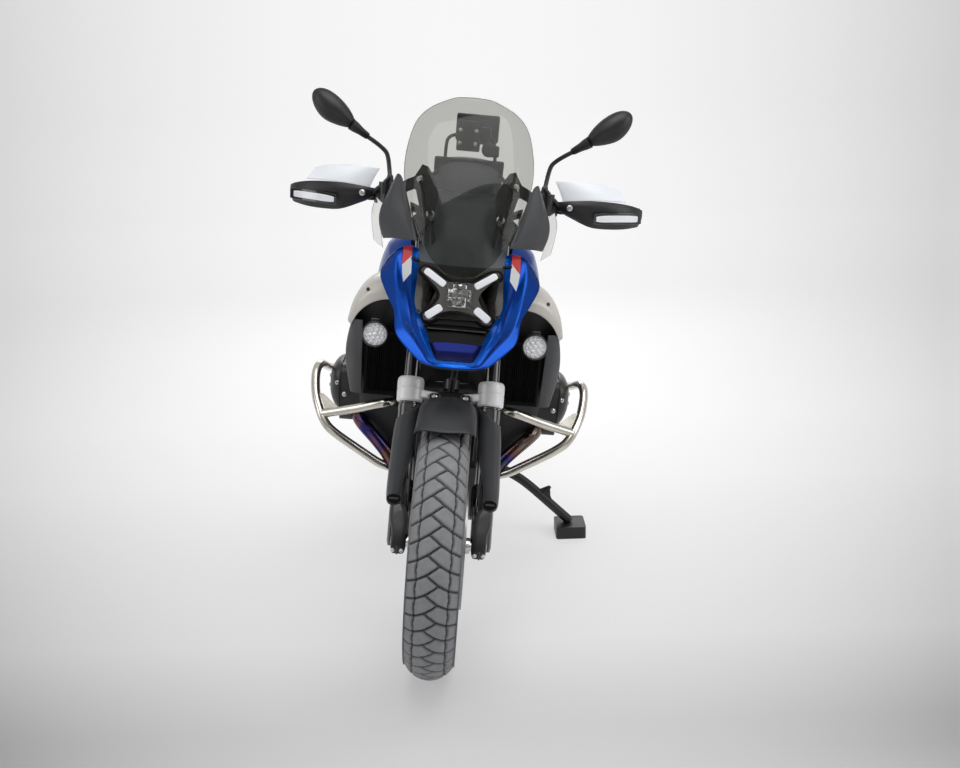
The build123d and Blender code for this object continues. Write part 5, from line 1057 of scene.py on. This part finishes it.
def vertex_places(mesh):
    places = np.empty(len(mesh.vertices) * 3)
    mesh.vertices.foreach_get("co", places)
    return places.reshape(-1, 3)


def seat_pads():
    """The two seats as one swollen skin: a shrunken copy, remeshed, blown up as cloth, its travel capped."""
    source = frame["nodes"]["seats"]
    mesh = source.data.copy()
    mesh.transform(source.matrix_world)
    mesh.materials.clear()
    work = bmesh.new()
    work.from_mesh(mesh)
    bmesh.ops.remove_doubles(work, verts=work.verts, dist=1e-5)
    work.normal_update()
    for vertex in work.verts:
        vertex.co -= vertex.normal * PAD_SHRINK
    work.to_mesh(mesh)
    work.free()
    pads = add_object("seat_pads", mesh, "seat", "chassis", ("seats",))
    modify(pads, "remesh", "REMESH", mode="VOXEL", voxel_size=PAD_VOXEL)
    bake_modifiers(pads)
    start = vertex_places(pads.data)
    cloth = pads.modifiers.new("cloth", "CLOTH")
    cloth.settings.use_pressure = True
    cloth.settings.uniform_pressure_force = PAD_PRESSURE
    cloth.settings.effector_weights.gravity = 0
    cloth.settings.quality = 4
    cloth.point_cache.frame_end = PAD_FRAMES
    for number in range(1, PAD_FRAMES + 1):
        bpy.context.scene.frame_set(number)
    bake_modifiers(pads)
    travel = vertex_places(pads.data) - start
    length = np.linalg.norm(travel, axis=1, keepdims=True)
    travel *= np.minimum(1.0, PAD_SWELL / np.maximum(length, 1e-9))
    pads.data.vertices.foreach_set("co", (start + travel).ravel())
    pads.data.update()
    modify(pads, "relax", "SMOOTH", factor=0.5, iterations=6)
    bake_modifiers(pads)
    bpy.context.scene.frame_set(1)
    smooth(pads.data)
    return pads


pads = seat_pads()
pad_tree = BVHTree.FromObject(pads, bpy.context.evaluated_depsgraph_get())
SEAM_RADIUS, SEAM_SINK, SEAM_STEPS = 2.0, 0.0012, 6  # mm, m, and steps between two points of a route


def on_pad(point):
    """The pads' surface nearest to a point of the upright frame, as such a point again."""
    spot, normal, _, _ = pad_tree.find_nearest(bike(point))
    return BODY_FRAME["chassis"].inverted() @ (spot - normal * SEAM_SINK)


def seam(name, route):
    """Piping laid on the pads along a route."""
    steps = [(Vector(a), Vector(b), k / SEAM_STEPS) for a, b in zip(route, route[1:]) for k in range(SEAM_STEPS)]
    dense = [a.lerp(b, share) for a, b, share in steps] + [route[-1]]
    wire(name, [on_pad(point) for point in dense], SEAM_RADIUS, "rubber")


pair(seam, "rider_seam", [(78, 824, 926), (102, 880, 882), (140, 990, 864), (146, 1060, 880), (150, 1136, 902)])
seam("rider_seam_nose", whole([(0, 872, 894), (50, 876, 892), (106, 890, 878)]))
seam("rider_seam_back", whole([(0, 1060, 884), (70, 1064, 884), (146, 1072, 884)]))
pair(seam, "pillion_seam", [(142, 1164, 930), (138, 1230, 940), (130, 1300, 944), (114, 1370, 945), (98, 1428, 944)])
seam("pillion_seam_mid", whole([(0, 1276, 948), (66, 1280, 948), (132, 1290, 944)]))

# ---- camera, light and floor
CAMERA_PLACE = Vector((124.0, -2251.0, 1334.0))
YAW, PITCH, ROLL = math.radians(0.62), math.radians(15.0), math.radians(-1.5)
FOCAL_PX, FRAME_PX, SENSOR = 982.0, 960.0, 36.0

forward = Vector((math.sin(YAW) * math.cos(PITCH), math.cos(YAW) * math.cos(PITCH), -math.sin(PITCH)))
right = Vector((math.cos(YAW), -math.sin(YAW), 0))
up = right.cross(forward)
right, up = math.cos(ROLL) * right + math.sin(ROLL) * up, math.cos(ROLL) * up - math.sin(ROLL) * right
camera = bpy.data.cameras.new("camera")
camera.sensor_width, camera.lens, camera.clip_end = SENSOR, SENSOR * FOCAL_PX / FRAME_PX, 100
eye = bpy.data.objects.new("camera", camera)
bpy.context.scene.collection.objects.link(eye)
turn = Matrix((right, up, -forward)).transposed().to_4x4()
eye.matrix_world = Matrix.Translation((CAMERA_PLACE + SHIFT) / 1000) @ turn
bpy.context.scene.camera = eye

LIGHTS = [
    ("key", (0.4, -1.6, 3.6), (0, -0.2, 0.6), (3.0, 2.2), 52),
    ("left", (3.2, -1.6, 1.9), (0, -0.3, 0.8), (1.6, 2.4), 26),
    ("right", (-3.2, -1.6, 1.9), (0, -0.3, 0.8), (1.6, 2.4), 20),
    ("back", (0, 3.4, 2.8), (0, 0.2, 0.8), (3.0, 1.6), 34),
]
for name, place, target, size, power in LIGHTS:
    light = bpy.data.lights.new(name, "AREA")
    light.shape = "RECTANGLE"
    (light.size, light.size_y), light.energy = size, power
    lamp = bpy.data.objects.new(name, light)
    bpy.context.scene.collection.objects.link(lamp)
    lamp.location = place
    lamp.rotation_euler = (Vector(target) - Vector(place)).to_track_quat("-Z", "Y").to_euler()

# the sky lights the bike; the camera sees an even grey instead
SKY_LOW, SKY_HIGH, SKY_LEVEL, SEEN_GREY = (0.24, 0.245, 0.25), (1, 1, 1), 0.62, (0.72, 0.72, 0.72, 1)
world = bpy.data.worlds.new("studio")
world.use_nodes = True
tree = world.node_tree
split = add_node(tree, "SeparateXYZ", Vector=add_node(tree, "TexCoord").outputs["Generated"])
sky_colour = add_ramp(tree, split.outputs["Z"], [(0.0, SKY_LOW), (0.75, SKY_HIGH)])
set_inputs(tree.nodes["Background"], Color=sky_colour, Strength=SKY_LEVEL)
backdrop = add_node(tree, "Background", Color=SEEN_GREY)
choice = add_node(tree, "MixShader", Fac=add_node(tree, "LightPath").outputs["Is Camera Ray"])
for socket, source in zip(choice.inputs[1:], (tree.nodes["Background"], backdrop)):
    tree.links.new(source.outputs["Background"], socket)
set_inputs(tree.nodes["World Output"], Surface=choice.outputs["Shader"])
bpy.context.scene.world = world

floor_mesh = bpy.data.meshes.new("floor")
SWEEP = [(-40.0, 0.0), (6.0, 0.0), (8.0, 0.3), (9.2, 1.5), (9.6, 6.0)]
floor_points = [(x, y, z) for y, z in SWEEP for x in (-30.0, 30.0)]
floor_faces = [(2 * i, 2 * i + 1, 2 * i + 3, 2 * i + 2) for i in range(len(SWEEP) - 1)]
floor_mesh.from_pydata(floor_points, [], floor_faces)
smooth(floor_mesh)
floor = bpy.data.objects.new("floor", floor_mesh)
bpy.context.scene.collection.objects.link(floor)
floor_look, floor_shader, floor_tree = new_material("pale_floor", Roughness=0.75, Specular_IOR_Level=0.2)


def floor_math(operation, *values):
    """A math node of the floor's material; numbers are set, sockets are linked."""
    node = add_node(floor_tree, "Math")
    node.operation = operation
    for socket, value in zip(node.inputs, values):
        if isinstance(value, (int, float)):
            socket.default_value = value
        else:
            floor_tree.links.new(value, socket)
    return node.outputs["Value"]


# the floor glows for the camera's rays alone, also through glass and in mirrors: the glow follows the distance behind
# the front axle, and is darker to the sides up to a limit, fading out again further aside
SIDE_FALL, SIDE_MOST, SIDE_END, SIDE_RISE, VIEW_BACK, VIEW_DEPTH = -1.3, 0.22, 0.55, 0.6, 0.4, 2.2
GLOW_FROM, GLOW_SPAN = 3.0, 12.0
GLOW = [(-3, 0.55), (-2.2, 0.5), (-0.9, 0.28), (-0.3, 0.24), (0.1, 0.42), (1.3, 0.6), (2.1, 0.65), (3.7, 0.67)]
GLOW += [(8.3, 0.74), (9, 0.74)]
rays = add_node(floor_tree, "LightPath").outputs
place = add_node(floor_tree, "TexCoord").outputs["Object"]
split = add_node(floor_tree, "SeparateXYZ", Vector=place).outputs
seen = floor_math("MAXIMUM", rays["Is Camera Ray"], rays["Is Transmission Ray"])
seen = floor_math("MAXIMUM", seen, rays["Is Glossy Ray"])
behind = floor_math("SUBTRACT", split["Y"], SHIFT.y / 1000)
depth = floor_math("ADD", floor_math("ABSOLUTE", floor_math("ADD", behind, VIEW_BACK)), VIEW_DEPTH)
aside = floor_math("DIVIDE", floor_math("ABSOLUTE", split["X"]), depth)
fade = floor_math("MULTIPLY", floor_math("MAXIMUM", floor_math("SUBTRACT", aside, SIDE_END), 0.0), SIDE_RISE)
dark = floor_math("SUBTRACT", floor_math("MINIMUM", floor_math("MULTIPLY", aside, aside), SIDE_MOST), fade)
dark = floor_math("MULTIPLY", floor_math("MAXIMUM", dark, 0.0), SIDE_FALL)
stops = [((y + GLOW_FROM) / GLOW_SPAN, (level, level, level)) for y, level in GLOW]
glow = add_ramp(floor_tree, floor_math("DIVIDE", floor_math("ADD", behind, GLOW_FROM), GLOW_SPAN), stops)
strength = floor_math("MULTIPLY", floor_math("ADD", glow, dark), seen)
drift = add_node(floor_tree, "MapRange", Value=texture(floor_tree, Scale=0.6), To_Min=0.79, To_Max=0.81)
shade = floor_math("SUBTRACT", 1.0, floor_math("MULTIPLY", seen, 0.5))
shade = floor_math("MULTIPLY", drift.outputs["Result"], shade)
set_inputs(floor_shader, Emission_Strength=strength, Emission_Color=(1, 1, 1, 1), Base_Color=shade)
floor_mesh.materials.append(floor_look)

scene = bpy.context.scene
scene.view_settings.view_transform = "Standard"
